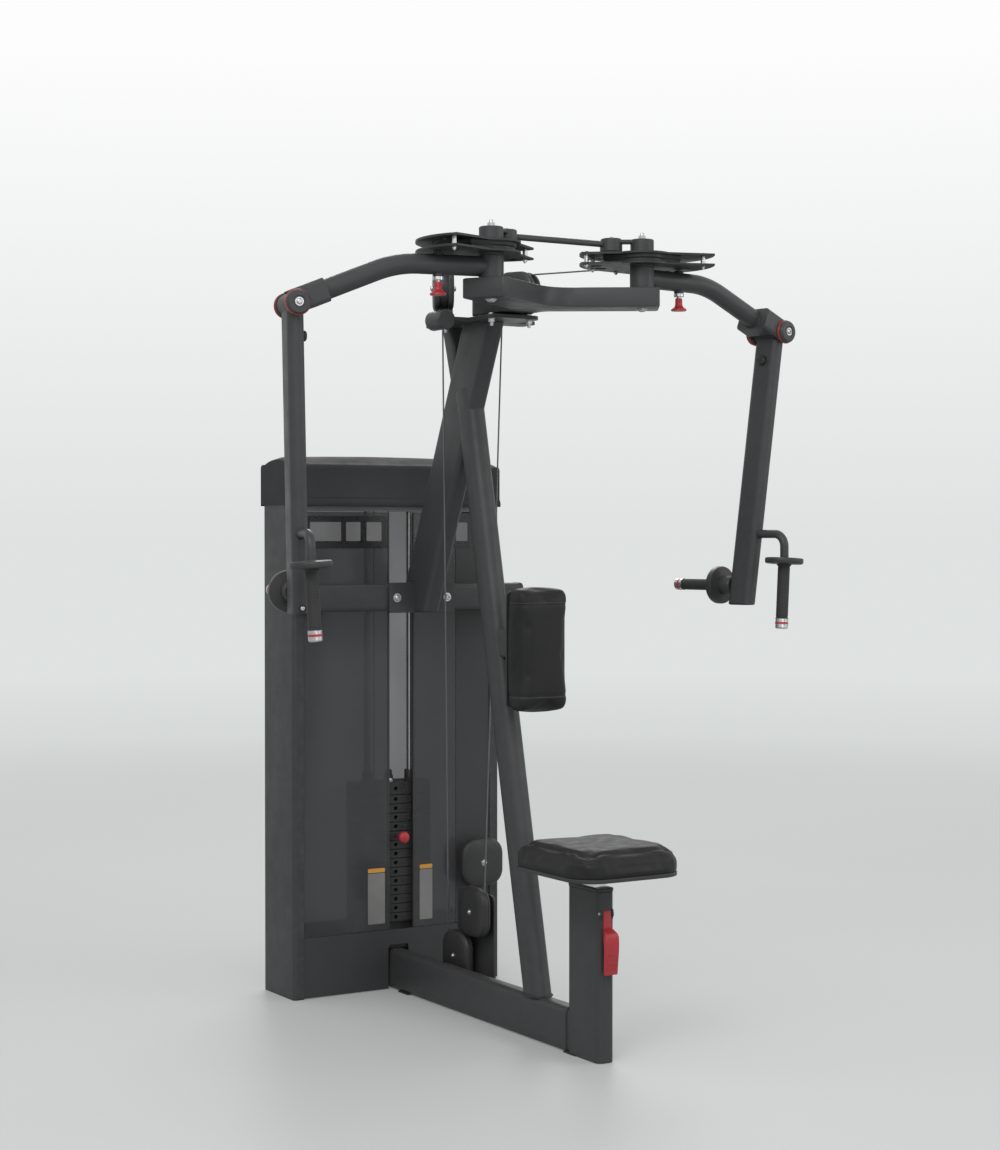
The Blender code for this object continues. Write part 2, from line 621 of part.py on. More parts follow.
def make_arm(side, word, body):
    x = side * PIVOT_X
    along, across = arm_frame(side)
    elbow = polar(side, ARM_ANGLE, ELBOW_REACH, ELBOW_Z)
    bend = BEND_REACH
    path = [polar(side, ARM_ANGLE, 0.020, ARM_Z), polar(side, ARM_ANGLE, bend - 0.055, ARM_Z)]
    drop = (ELBOW_Z + 0.004 - ARM_Z) / (ELBOW_REACH - bend)
    for i in range(1, 4):
        t = i / 4
        path.append(polar(side, ARM_ANGLE, bend - 0.055 + 0.110 * t, ARM_Z + drop * 0.055 * t * t))
    path.append(polar(side, ARM_ANGLE, bend + 0.055, ARM_Z + drop * 0.055))
    path.append(polar(side, ARM_ANGLE, ELBOW_REACH - 0.050, ELBOW_Z + 0.004 - drop * 0.050))
    arm = sweep("arm_" + word, circle(ARM_TUBE_RADIUS, 16), path)
    fuse(arm, cylinder("hub", (x, PIVOT_Y, ARM_HUB_Z[0]), (x, PIVOT_Y, ARM_HUB_Z[1]), HUB_RADIUS, 20))
    pin = polar(side, ARM_ANGLE, PIN_REACH, 0)
    fuse(arm, cylinder("sleeve", (pin.x, pin.y, 1.934), (pin.x, pin.y, 2.0015), 0.0125, 12))

    tilt = Vector((along.x, along.y, drop)).normalized()
    end = path[-1] + tilt * 0.002
    fork_shape = rounded_rectangle(0.1010, 0.060, 0.012, 2)
    top = sweep("fork", fork_shape, [end - tilt * 0.028, end + tilt * 0.084])
    fuse(arm, top)
    rise = Vector((-tilt.z * along.x, -tilt.z * along.y, along.dot(tilt)))
    slot_outline = rounded_rectangle(0.0870, 0.140, 0.002, 1)
    start = elbow - tilt * 0.038 - rise * 0.0420
    cut(arm, sweep("slot", slot_outline, [start, start + tilt * 0.12]))
    cut(arm, cylinder("axle_bore", elbow - across * 0.1, elbow + across * 0.1, 0.0073, 16))
    cut(arm, cylinder("bore", (x, PIVOT_Y, 1.9), (x, PIVOT_Y, 2.1), SHAFT_RADIUS + GAP, 24))
    cut(arm, cylinder("pin_bore", (pin.x, pin.y, 1.9), (pin.x, pin.y, 2.1), 0.0065, 10))
    finish(arm, CHARCOAL, body)

    axle = cylinder("elbow_axle_" + word, elbow - across * 0.062, elbow + across * 0.062, 0.0070, 12)
    for end_side in (-1, 1):
        outward = across * end_side
        profile = [(0.0, 0.0508), (0.0300, 0.0508), (0.0300, 0.0600), (0.0265, 0.0660), (0.0, 0.0675)]
        fuse(axle, turned("cap", profile, elbow, outward, 24))
    finish(axle, PLASTIC, body)


def make_pull_pin(side, word, body):
    pin = polar(side, ARM_ANGLE, PIN_REACH, 0)
    profile = [(0.0, 1.897), (0.0205, 1.897), (0.0205, 1.9015)]
    profile += [(0.0105, 1.9085), (0.0095, 1.9300), (0.0060, 1.9320)]
    profile += [(0.0060, 2.0035), (0.0, 2.0035)]
    finish(turned("pull_pin_" + word, profile, (pin.x, pin.y, 0), (0, 0, 1), 20), RED, body)


def lower_arm_point(side, z):
    """Centreline of the lower arm: it leans in and towards the tower as it goes down."""
    along, across = arm_frame(side)
    elbow = polar(side, ARM_ANGLE, ELBOW_REACH, ELBOW_Z)
    fall = (ELBOW_Z - z) / (ELBOW_Z - LOWER_ARM_BOTTOM)
    return elbow - along * 0.034 * fall + across * 0.074 * fall + Vector((0, 0, z - ELBOW_Z))


def make_lower_arm(side, word, body):
    along, across = arm_frame(side)
    elbow = polar(side, ARM_ANGLE, ELBOW_REACH, ELBOW_Z)
    outline = rounded_rectangle(LOWER_ARM_DEPTH, LOWER_ARM_WIDTH, 0.018, 3)
    path = [lower_arm_point(side, ELBOW_Z - 0.012), lower_arm_point(side, LOWER_ARM_BOTTOM)]
    arm = sweep("lower_arm_" + word, outline, path, up=along)
    cut(arm, block("below", (-1, -1, 0.9), (1, 1, LOWER_ARM_BOTTOM + 0.004)))
    fuse(arm, cylinder("hub", elbow - across * 0.0405, elbow + across * 0.0405, 0.026, 24))
    cut(arm, cylinder("axle_bore", elbow - across * 0.1, elbow + across * 0.1, 0.0073, 16))
    bumper = lower_arm_point(side, ELBOW_Z - 0.075)
    fuse(arm, cylinder("bumper", bumper - along * 0.017, bumper - along * 0.033, 0.013, 16))

    start = lower_arm_point(side, BRACKET_Z)
    turn = start - across * 0.092
    bracket = [start - across * 0.02, turn]
    for i in range(1, 6):
        angle = math.radians(90 * i / 5)
        drop = Vector((0, 0, 0.034 * (1 - math.cos(angle))))
        bracket.append(turn - across * 0.034 * math.sin(angle) - drop)
    bracket.append(bracket[-1] - Vector((0, 0, 0.030)))
    down = bracket[-1]
    fuse(arm, sweep("bracket", circle(0.0115, 12), bracket, up=along))
    lean = along * -0.012
    core_end = down + lean + Vector((0, 0, 1.052 - down.z))
    fuse(arm, cylinder("grip_core", down + Vector((0, 0, 0.004)), core_end, 0.0095, 12))

    stub = lower_arm_point(side, HANDLE_Z)
    fuse(arm, cylinder("stub", stub + across * 0.02, stub + across * 0.252, 0.0095, 12))
    finish(arm, CHARCOAL, body)

    rim = BRACKET_Z - 0.064
    grip_start = down + Vector((0, 0, rim - down.z))
    run = (core_end - down).normalized()
    length = 0.186
    profile = [(0.0103, 0.0), (0.050, 0.0), (0.052, 0.004), (0.050, 0.015), (0.019, 0.017), (0.0165, 0.022)]
    profile += [(0.0165, length - 0.004), (0.0185, length)]
    profile += [(0.0185, length + 0.006), (0.0103, length + 0.006)]
    grip = turned("vertical_grip_" + word, profile, grip_start + run * 0.001, run, 20)
    finish(grip, RUBBER, body)

    profile = [(0.0098, 0.0), (0.050, 0.0), (0.052, 0.005), (0.050, 0.020), (0.020, 0.023), (0.0150, 0.030)]
    profile += [(0.0150, 0.160), (0.0165, 0.163), (0.0165, 0.170), (0.0098, 0.170)]
    base = stub + across * 0.078
    finish(turned("horizontal_grip_" + word, profile, base, across, 20), RUBBER, body)


def make_arms():
    for side, word in ((-1, "left"), (1, "right")):
        x = side * PIVOT_X
        cam_body = joint_empty("cam_swing_" + word, (x, PIVOT_Y, CABLE_Z))
        arm_body = joint_empty("arm_set_" + word, (x, PIVOT_Y, ARM_Z))
        pin_body = joint_empty("pin_slide_" + word, polar(side, ARM_ANGLE, PIN_REACH, ARM_Z))
        elbow_body = joint_empty("elbow_" + word, polar(side, ARM_ANGLE, ELBOW_REACH, ELBOW_Z))
        make_cam(side, word, cam_body)
        make_arm(side, word, arm_body)
        make_pull_pin(side, word, pin_body)
        make_lower_arm(side, word, elbow_body)


def column_outline(side):
    """Folded sheet in plan: front strip, side wall and half of the rear wall."""
    corner = 0.012
    wall = COLUMN_WALL
    front = TOWER_FRONT_Y
    back = COLUMN_BACK_Y
    half = TOWER_HALF
    points = [(half - COLUMN_STRIP, front)]
    points += arc((half - corner, front + corner), corner, -90, 0, 4)
    points += arc((half - corner, back - corner), corner, 0, 90, 4)
    points += [(COLUMN_SEAM_HALF, back), (COLUMN_SEAM_HALF, back - wall)]
    points += arc((half - corner, back - corner), corner - wall, 90, 0, 4)
    points += arc((half - corner, front + corner), corner - wall, 0, -90, 4)
    points += [(half - COLUMN_STRIP, front + wall)]
    return [(side * x, y) for x, y in points]


def make_tower():
    for side, word in ((-1, "left"), (1, "right")):
        finish(plate("column_" + word, column_outline(side), 0.0, COLUMN_TOP), CHARCOAL)

    header = sweep_x("header", header_profile(0.0), -HEADER_HALF, HEADER_HALF)
    inner_half = HEADER_HALF - HEADER_WALL
    cut(header, sweep_x("inner", header_profile(HEADER_WALL), -inner_half, inner_half))
    finish(header, CHARCOAL)

    thin = PANEL_Y + 0.003
    thick = PANEL_Y + 0.005
    low = KICK_TOP + 0.001
    finish(block("window_left", (-PANEL_HALF, PANEL_Y, low), (SLOT_X[0], thick, PANEL_TOP)), SMOKED)
    finish(block("window_right", (SLOT_X[1], PANEL_Y, low), (0.1910, thick, PANEL_TOP)), SMOKED)
    finish(block("side_panel", (0.1920, PANEL_Y, low), (PANEL_HALF, thin, PANEL_TOP)), CHARCOAL)
    kick = block("kick_panel", (-PANEL_HALF, PANEL_Y, 0.002), (PANEL_HALF, thin, KICK_TOP))
    beam_way = TUBE_WIDTH / 2 + 0.008
    cut(kick, block("beam_way", (-beam_way, 0.4, -0.1), (beam_way, 0.6, BEAM_HEIGHT + 0.012)))
    finish(kick, CHARCOAL)

    inner_x = TOWER_HALF - COLUMN_WALL - 0.0005
    base_low = (-inner_x, STACK_Y - 0.053, BEAM_HEIGHT + GAP)
    finish(block("stack_base", base_low, (inner_x, STACK_Y + 0.057, STACK_BASE_TOP)), CHARCOAL)
    bridge_low = (-inner_x, STACK_Y - 0.030, BRIDGE_Z[0])
    bridge = block("top_crossmember", bridge_low, (inner_x, STACK_Y + 0.030, BRIDGE_Z[1]))
    cut(bridge, cylinder("cable_way", (0, STACK_Y, 1.3), (0, STACK_Y, 1.5), 0.007, 12))
    ear_y = (HEADER_PULLEY.y - 0.027, HEADER_PULLEY.y + 0.015)
    for x in (-0.030, 0.024):
        ear_top = (x + 0.006, ear_y[1], HEADER_PULLEY.z + 0.014)
        fuse(bridge, block("pulley_ear", (x, ear_y[0], BRIDGE_Z[0] + 0.010), ear_top))
    reach = Vector((0.028, 0, 0))
    fuse(bridge, cylinder("pulley_axle", HEADER_PULLEY - reach, HEADER_PULLEY + reach, 0.0070, 12))
    finish(bridge, CHARCOAL)
    pulley_body = joint_empty("header_pulley_spin", HEADER_PULLEY)
    groove = HEADER_PULLEY_RADIUS - CABLE_RADIUS - 3 * GAP
    rim = HEADER_PULLEY_RADIUS + 0.003
    profile = [(0.0073, -0.010), (rim, -0.010), (groove, -0.003)]
    profile += [(radius, -height) for radius, height in reversed(profile)]
    finish(turned("header_pulley", profile, HEADER_PULLEY, (1, 0, 0), 24), PLASTIC, pulley_body)

    rod_z = (STACK_BASE_TOP + GAP, BRIDGE_Z[0] - GAP)
    for side, word in ((-1, "left"), (1, "right")):
        x = side * ROD_X
        rod = cylinder("guide_rod_" + word, (x, STACK_Y, rod_z[0]), (x, STACK_Y, rod_z[1]), ROD_RADIUS, 16)
        finish(rod, STEEL)
    cushion_low = (-0.110, STACK_Y - 0.030, rod_z[0])
    cushion_high = (0.110, STACK_Y + 0.030, STACK_BOTTOM - GAP)
    cushion = block("stack_cushion", cushion_low, cushion_high, 0.02, 3)
    bore_for_rods(cushion)
    cut(cushion, cylinder("rod_way", (0, STACK_Y, 0.1), (0, STACK_Y, 0.3), 0.0145, 16))
    finish(cushion, RUBBER)


def bore_for_rods(obj):
    for side in (-1, 1):
        x = side * ROD_X
        cut(obj, cylinder("rod_way", (x, STACK_Y, 0.1), (x, STACK_Y, 0.8), ROD_RADIUS + 0.0015, 16))


def header_profile(inset):
    """Side view of the hood as (y, z): flat front and back with a crowned top."""
    front = HEADER_FRONT_Y + inset
    back = HEADER_BACK_Y - inset
    middle = (front + back) / 2
    rise = HEADER_CROWN - HEADER_SHOULDER
    bottom = HEADER_BOTTOM - (0.05 if inset else 0.0)
    points = [(front, bottom)]
    for i in range(9):
        t = -1 + i / 4
        y = middle + t * (back - front) / 2
        points.append((y, HEADER_SHOULDER - inset + rise * (1 - t * t)))
    points.append((back, bottom))
    return points


def sweep_x(name, profile, left, right):
    """(y, z) profile drawn from x = left to x = right."""
    count = len(profile)
    points = [(x, y, z) for x in (left, right) for y, z in profile]
    faces = [list(range(count)), list(range(count, 2 * count))[::-1]]
    faces += [[j, (j + 1) % count, count + (j + 1) % count, count + j] for j in range(count)]
    return mesh_object(name, points, faces)


def stack_block(name, bottom, levels, top):
    """Plates as one grooved block: a shallow groove runs round it at each joint between plates."""
    width = 2 * STACK_HALF_WIDTH
    depth = 2 * STACK_HALF_DEPTH
    full = rounded_rectangle(width, depth, 0.008, 1)
    inset = rounded_rectangle(width - 0.006, depth - 0.006, 0.005, 1)
    layers = [(full, bottom)]
    for level in levels:
        layers += [(full, level - 0.0010), (inset, level - 0.0010)]
        layers += [(inset, level + 0.0010), (full, level + 0.0010)]
    layers.append((full, top))
    count = len(full)
    points = [(x, y + STACK_Y, z) for outline, z in layers for x, y in outline]
    faces = [list(range(count))[::-1], list(range(len(points) - count, len(points)))]
    for ring in range(len(layers) - 1):
        low = ring * count
        for j in range(count):
            k = (j + 1) % count
            faces.append([low + j, low + k, low + count + k, low + count + j])
    stack = mesh_object(name, points, faces)
    bore_for_rods(stack)
    return stack


def make_stack():
    split = STACK_BOTTOM + PLATE_PITCH * (PLATE_COUNT - LIFTED_PLATES)
    levels = [STACK_BOTTOM + PLATE_PITCH * i for i in range(1, PLATE_COUNT + 1)]
    lower_levels = [z for z in levels if z < split - 0.001]
    resting = stack_block("resting_plates", STACK_BOTTOM, lower_levels, split - GAP)
    cut(resting, cylinder("rod_way", (0, STACK_Y, 0.1), (0, STACK_Y, 0.8), 0.0145, 16))
    front = STACK_Y - STACK_HALF_DEPTH
    hole_z = [z - PLATE_PITCH / 2 for z in levels]
    for z in hole_z:
        if z < split:
            cut(resting, cylinder("pin_hole", (0, front - 0.01, z), (0, STACK_Y, z), 0.0058, 8))
    finish(resting, IRON)

    body = joint_empty("stack_lift", (0, STACK_Y, split))
    lifted = stack_block("lifted_plates", split, [z for z in levels if z > split + 0.001], TOP_PLATE_TOP)
    cut(lifted, cylinder("rod_way", (0, STACK_Y, 0.1), (0, STACK_Y, 0.8), 0.0125 + GAP, 16))
    for z in hole_z + [TOP_PLATE_TOP - 0.018]:
        if z > split:
            cut(lifted, cylinder("pin_hole", (0, front - 0.01, z), (0, STACK_Y, z), 0.0058, 8))
    finish(lifted, IRON, body)

    pin_z = split + PLATE_PITCH / 2
    rod_top = TOP_PLATE_TOP + 0.004
    rod = cylinder("selector_rod", (0, STACK_Y, STACK_BOTTOM + 0.004), (0, STACK_Y, rod_top), 0.0125, 20)
    fitting_top = TOP_PLATE_TOP + 0.034
    fuse(rod, cylinder("fitting", (0, STACK_Y, rod_top - 0.0035), (0, STACK_Y, fitting_top), 0.0150, 20))
    cut(rod, cylinder("pin_way", (0, front - 0.01, pin_z), (0, STACK_Y + 0.03, pin_z), 0.0054, 12))
    finish(rod, STEEL, body)

    pin_body = joint_empty("selector_pin_slide", (0, front, pin_z))
    profile = [(0.0, -0.102), (0.0120, -0.100), (0.0165, -0.094), (0.0165, -0.086)]
    profile += [(0.0085, -0.082), (0.0050, -0.078), (0.0050, 0.005), (0.0035, 0.008), (0.0, 0.008)]
    finish(turned("selector_pin", profile, (0, STACK_Y, pin_z), (0, 1, 0), 20), RED, pin_body)


def cable(name, path):
    """Steel cable along a hand-set path, as a bevelled curve with filled ends."""
    curve = bpy.data.curves.new(name, "CURVE")
    curve.dimensions = "3D"
    curve.bevel_depth = CABLE_RADIUS
    curve.bevel_resolution = 2
    curve.use_fill_caps = True
    spline = curve.splines.new("POLY")
    spline.points.add(len(path) - 1)
    for point, place in zip(spline.points, path):
        point.co = (*place, 1.0)
    curve.materials.append(material(STEEL))
    obj = bpy.data.objects.new(name, curve)
    bpy.context.scene.collection.objects.link(obj)
    return obj


def make_cables():
    ends = {-1: (0.065, 0.330, 0.1870), 1: (0.065, 0.130, 0.3215)}
    for side, word in ((-1, "left"), (1, "right")):
        centre, run, _ = head_pulley_frame(side)
        reach = CABLE_Z - centre.z
        to_pivot = math.hypot(PIVOT_X - HEAD_PULLEY.x, PIVOT_Y - HEAD_PULLEY.y)
        span = math.sqrt(to_pivot**2 - DRUM_RADIUS**2)
        path = [centre + run * span + Vector((0, 0, reach)), centre + Vector((0, 0, reach))]
        for i in range(1, 7):
            turn = math.radians(15 * i)
            path.append(centre - run * reach * math.sin(turn) + Vector((0, 0, reach * math.cos(turn))))
        path.append(Vector(ends[side]))
        cable("cable_" + word, path)
    cable("stack_cable", [(0, STACK_Y, TOP_PLATE_TOP + 0.0343), (0, STACK_Y, STACK_TRAVEL_TOP)])
    path = [Vector((0, STACK_Y, STACK_TRAVEL_TOP + GAP)), Vector((0, STACK_Y, HEADER_PULLEY.z))]
    for i in range(1, 13):
        turn = math.radians(15 * i)
        path.append(HEADER_PULLEY + HEADER_PULLEY_RADIUS * Vector((0, -math.cos(turn), math.sin(turn))))
    path.append(Vector((0, HEADER_PULLEY.y + HEADER_PULLEY_RADIUS, BEAM_HEIGHT + 2 * GAP)))
    cable("return_cable", path)


def pulley_cover(name, centre, back, side, stand):
    """Rounded square shell over a pulley, domed away from its back, on a short round spindle."""
    up = back.cross(side)
    points = []
    for scale, height in ((0.80, -0.017), (1.0, -0.008), (1.0, 0.008), (0.88, 0.014)):
        size = 2 * BASE_PULLEY_HALF * scale
        for u, v in rounded_rectangle(size, size, BASE_PULLEY_CORNER * scale, 5):
            points.append(centre + side * u + up * v + back * height)
    count = len(points) // 4
    faces = [list(range(count))[::-1], list(range(3 * count, 4 * count))]
    for ring in range(3):
        for j in range(count):
            k = (j + 1) % count
            low = ring * count
            faces.append([low + j, low + k, low + count + k, low + count + j])
    cover = mesh_object(name, points, faces)
    fuse(cover, cylinder("spindle", centre, centre + back * stand, 0.012, 20))
    return finish(cover, PLASTIC)


def make_base_pulleys():
    for name, centre in BASE_PULLEYS.items():
        pulley_cover(name, centre, Vector((1, 0, 0)), Vector((0, 1, 0)), BASE_PULLEY_STAND)
    stand = PANEL_Y - GAP - TOWER_PULLEY.y
    pulley_cover("base_pulley_cover_1", TOWER_PULLEY, Vector((0, 1, 0)), Vector((-1, 0, 0)), stand)
    bracket = block("base_pulley_bracket", (0.0953, 0.130, 0.030), (0.1013, 0.330, 0.310))
    fuse(bracket, block("foot", (TUBE_WIDTH / 2 + GAP, 0.200, 0.018), (0.0980, 0.300, 0.048)))
    finish(bracket, CHARCOAL)


def make_back_pad():
    outline = rounded_rectangle(PAD_WIDTH, PAD_BACK_Y - PAD_FRONT_Y, 0.024, 4)
    middle = (PAD_BACK_Y + PAD_FRONT_Y) / 2
    pad = plate("back_pad", [(x, y + middle) for x, y in outline], PAD_BOTTOM + 0.012, PAD_TOP - 0.012)
    inner = rounded_rectangle(PAD_WIDTH - 0.024, PAD_BACK_Y - PAD_FRONT_Y - 0.024, 0.018, 4)
    fuse(pad, plate("crown", [(x, y + middle) for x, y in inner], PAD_BOTTOM, PAD_TOP))
    finish(pad, UPHOLSTERY)

    mount = block("back_pad_mount", (-0.045, PAD_BACK_Y + GAP, 0.890), (0.045, PAD_BACK_Y + 0.0063, 1.150))
    fuse(mount, block("arm", (-0.020, PAD_BACK_Y + 0.005, 0.985), (0.020, 0.06, 1.060)))
    fuse(mount, block("rib", (-0.004, PAD_BACK_Y + 0.005, 0.93), (0.004, -0.10, 1.135)))
    shape = rounded_rectangle(STRUT_WIDTH + 2 * GAP, STRUT_DEPTH + 2 * GAP, 0.0283, 4)
    cut(mount, sweep("strut_shape", shape, [STRUT_FOOT, STRUT_HEAD], up=(0, 1, 0)))
    cut(mount, block("behind", (-0.2, STRUT_FOOT.y + 0.2, 0.5), (0.2, 0.6, 1.5)))
    finish(mount, CHARCOAL)


clear_scene()
make_base()
make_seat()
make_lever()
make_mast()
make_head()
make_arms()
make_tower()
make_stack()
make_cables()
make_base_pulleys()
make_back_pad()
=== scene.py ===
"""Looks of the pec deck machine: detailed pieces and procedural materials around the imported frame."""

import json
import math

import bmesh
import bpy
from mathutils import Matrix, Vector


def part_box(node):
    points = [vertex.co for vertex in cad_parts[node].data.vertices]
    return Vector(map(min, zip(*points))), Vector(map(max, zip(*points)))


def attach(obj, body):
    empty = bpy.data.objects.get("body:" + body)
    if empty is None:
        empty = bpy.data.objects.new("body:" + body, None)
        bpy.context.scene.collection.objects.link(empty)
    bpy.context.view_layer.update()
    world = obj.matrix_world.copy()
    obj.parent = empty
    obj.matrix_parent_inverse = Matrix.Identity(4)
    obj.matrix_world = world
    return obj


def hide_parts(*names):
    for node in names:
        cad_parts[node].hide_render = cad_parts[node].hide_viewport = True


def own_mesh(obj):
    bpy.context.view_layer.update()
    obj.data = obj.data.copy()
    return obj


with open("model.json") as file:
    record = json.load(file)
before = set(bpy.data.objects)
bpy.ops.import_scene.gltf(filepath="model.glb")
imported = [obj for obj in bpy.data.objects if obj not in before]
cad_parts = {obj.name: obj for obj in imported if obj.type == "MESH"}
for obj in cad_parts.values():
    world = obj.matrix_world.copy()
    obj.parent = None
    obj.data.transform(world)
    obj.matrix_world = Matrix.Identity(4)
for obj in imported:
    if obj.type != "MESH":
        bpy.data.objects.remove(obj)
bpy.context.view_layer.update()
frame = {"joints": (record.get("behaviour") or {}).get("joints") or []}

SIDES = ((-1, "left"), (1, "right"))
UP = (0, 0, 1)
DOWN = (0, 0, -1)
TO_REAR = (0, 1, 0)
TO_FRONT = (0, -1, 0)
TO_RIGHT = (1, 0, 0)


def joint_at(name):
    """Place of a joint's axis."""
    return Vector(next(joint for joint in frame["joints"] if joint["name"] == name)["pos_m"])


def corners(node):
    """Low and high corner of a CAD node's box."""
    return [Vector(corner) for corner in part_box(node)]


# Driving sizes, read from the frame
PIVOT = joint_at("swing_right")
ELBOW = joint_at("elbow_right")
POST_LOW, POST_HIGH = corners("seat_post")
BEAM_HIGH = Vector(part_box("base_beam")[1])
BAR_LOW, BAR_HIGH = corners("crossbar")
MAST_LOW, MAST_HIGH = corners("mast")
COLUMN_LOW, COLUMN_HIGH = corners("column_right")
HEADER_LOW, HEADER_HIGH = corners("header")
SEAT_LOW, SEAT_HIGH = corners("seat_pad")
BACK_LOW, BACK_HIGH = corners("back_pad")
YOKE_HIGH = Vector(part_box("yoke")[1])
PLATES_LOW, PLATES_HIGH = corners("lifted_plates")
RESTING_LOW = Vector(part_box("resting_plates")[0])

ARM_ANGLE = math.atan2(ELBOW.y - PIVOT.y, ELBOW.x - PIVOT.x)
ELBOW_REACH = math.hypot(ELBOW.x - PIVOT.x, ELBOW.y - PIVOT.y)
POST_Y = (POST_LOW.y + POST_HIGH.y) / 2
LOCK_Z = 0.312
SEAT_TRAVEL = 0.16
TUBE = Vector((POST_HIGH.x - POST_LOW.x, POST_HIGH.y - POST_LOW.y))
TUBE_CORNER = 0.016
TOWER_HALF = COLUMN_HIGH.x
TOWER_FRONT = COLUMN_LOW.y
TOWER_BACK = COLUMN_HIGH.y
STACK_Y = (PLATES_LOW.y + PLATES_HIGH.y) / 2


# ---------------------------------------------------------------- materials

def nodes_of(name):
    """A new material with its tree and its shader."""
    made = bpy.data.materials.new(name)
    made.use_nodes = True
    tree = made.node_tree
    shader = tree.nodes["Principled BSDF"]
    return made, tree, shader


def noise(tree, scale, detail, stretch=None):
    """Grey noise in the object's own coordinates."""
    where = tree.nodes.new("ShaderNodeTexCoord")
    texture = tree.nodes.new("ShaderNodeTexNoise")
    texture.inputs["Scale"].default_value = scale
    texture.inputs["Detail"].default_value = detail
    if stretch:
        mapping = tree.nodes.new("ShaderNodeMapping")
        mapping.inputs["Scale"].default_value = stretch
        tree.links.new(where.outputs["Object"], mapping.inputs["Vector"])
        tree.links.new(mapping.outputs["Vector"], texture.inputs["Vector"])
    else:
        tree.links.new(where.outputs["Object"], texture.inputs["Vector"])
    return texture.outputs["Fac"]


def ramp(tree, source, low, high, start=0.3, end=0.7):
    """Colour (or grey value) from low to high as source goes from start to end."""
    node = tree.nodes.new("ShaderNodeValToRGB")
    node.color_ramp.elements[0].position = start
    node.color_ramp.elements[1].position = end
    for element, colour in zip(node.color_ramp.elements, (low, high)):
        if isinstance(colour, float):
            colour = (colour, colour, colour)
        element.color = (*colour, 1.0)
    tree.links.new(source, node.inputs["Fac"])
    return node.outputs["Color"]


def bumped(tree, shader, heights):
    """Chains (height, strength, distance) bumps into the shader's normal."""
    last = None
    for height, strength, distance in heights:
        bump = tree.nodes.new("ShaderNodeBump")
        bump.inputs["Strength"].default_value = strength
        bump.inputs["Distance"].default_value = distance
        tree.links.new(height, bump.inputs["Height"])
        if last:
            tree.links.new(last, bump.inputs["Normal"])
        last = bump.outputs["Normal"]
    tree.links.new(last, shader.inputs["Normal"])


def clouded(tree, shader, colour, dark, light, scale, detail):
    """Base colour that drifts between a darker and a lighter tone."""
    tones = ramp(tree, noise(tree, scale, detail), scaled(colour, dark), scaled(colour, light))
    tree.links.new(tones, shader.inputs["Base Color"])


def patchy(tree, shader, low, high, scale, detail):
    """Roughness that drifts between two values."""
    tree.links.new(ramp(tree, noise(tree, scale, detail), low, high), shader.inputs["Roughness"])


def scaled(colour, factor):
    return tuple(min(1.0, c * factor) for c in colour)


def painted_edge_highlight(tree, base, painted_highlight_colour, strength):
    """Mixes a painted highlight, a lighter tone, onto convex edges, broken up by noise."""
    geometry = tree.nodes.new("ShaderNodeNewGeometry")
    edge = ramp(tree, geometry.outputs["Pointiness"], 0.0, strength, 0.56, 0.68)
    highlight_mask = tree.nodes.new("ShaderNodeMath")
    highlight_mask.operation = "MULTIPLY"
    tree.links.new(edge, highlight_mask.inputs[0])
    tree.links.new(ramp(tree, noise(tree, 45.0, 4.0), 0.0, 1.0, 0.45, 0.62), highlight_mask.inputs[1])
    mix = tree.nodes.new("ShaderNodeMix")
    mix.data_type = "RGBA"
    tree.links.new(highlight_mask.outputs[0], mix.inputs["Factor"])
    tree.links.new(base, mix.inputs["A"])
    mix.inputs["B"].default_value = (*painted_highlight_colour, 1.0)
    return mix.outputs["Result"]


def powder_coat(name, colour, roughness=0.42, grain=1500.0, shine=0.25, glow=0.0):
    """Textured satin paint: fine orange peel, faint cloudiness and a painted highlight on convex edges;
    with glow it also gives off painted light.
    """
    made, tree, shader = nodes_of(name)
    cloud = ramp(tree, noise(tree, 5.0, 3.0), scaled(colour, 0.93), scaled(colour, 1.08))
    # convex edges get a painted highlight: a tone 2.2 times lighter mixed into the base colour
    base = painted_edge_highlight(tree, cloud, scaled(colour, 2.2), 0.28)
    tree.links.new(base, shader.inputs["Base Color"])
    patchy(tree, shader, roughness - 0.05, roughness + 0.09, 22.0, 4.0)
    shader.inputs["Metallic"].default_value = 0.0
    shader.inputs["Specular IOR Level"].default_value = shine
    # glow makes the paint give off its own light: painted light, not a lamp
    if glow:
        tree.links.new(base, shader.inputs["Emission Color"])
        shader.inputs["Emission Strength"].default_value = glow
    bumped(tree, shader, ((noise(tree, grain, 2.0), 0.22, 0.0004), (noise(tree, 380.0, 2.0), 0.1, 0.0006)))
    return made


def moulded_plastic(name, colour, roughness=0.5):
    """Fine spark-eroded plastic."""
    made, tree, shader = nodes_of(name)
    clouded(tree, shader, colour, 0.88, 1.15, 9.0, 4.0)
    patchy(tree, shader, roughness - 0.06, roughness + 0.08, 60.0, 3.0)
    shader.inputs["Specular IOR Level"].default_value = 0.35
    bumped(tree, shader, ((noise(tree, 2200.0, 2.0), 0.25, 0.0003),))
    return made


def rubber(name, colour):
    """Matte rubber with a pebbled skin."""
    made, tree, shader = nodes_of(name)
    clouded(tree, shader, colour, 0.8, 1.3, 14.0, 5.0)
    shader.inputs["Roughness"].default_value = 0.72
    cells = tree.nodes.new("ShaderNodeTexVoronoi")
    cells.inputs["Scale"].default_value = 520.0
    where = tree.nodes.new("ShaderNodeTexCoord")
    tree.links.new(where.outputs["Object"], cells.inputs["Vector"])
    bumped(tree, shader, ((cells.outputs["Distance"], 0.35, 0.0006),))
    return made


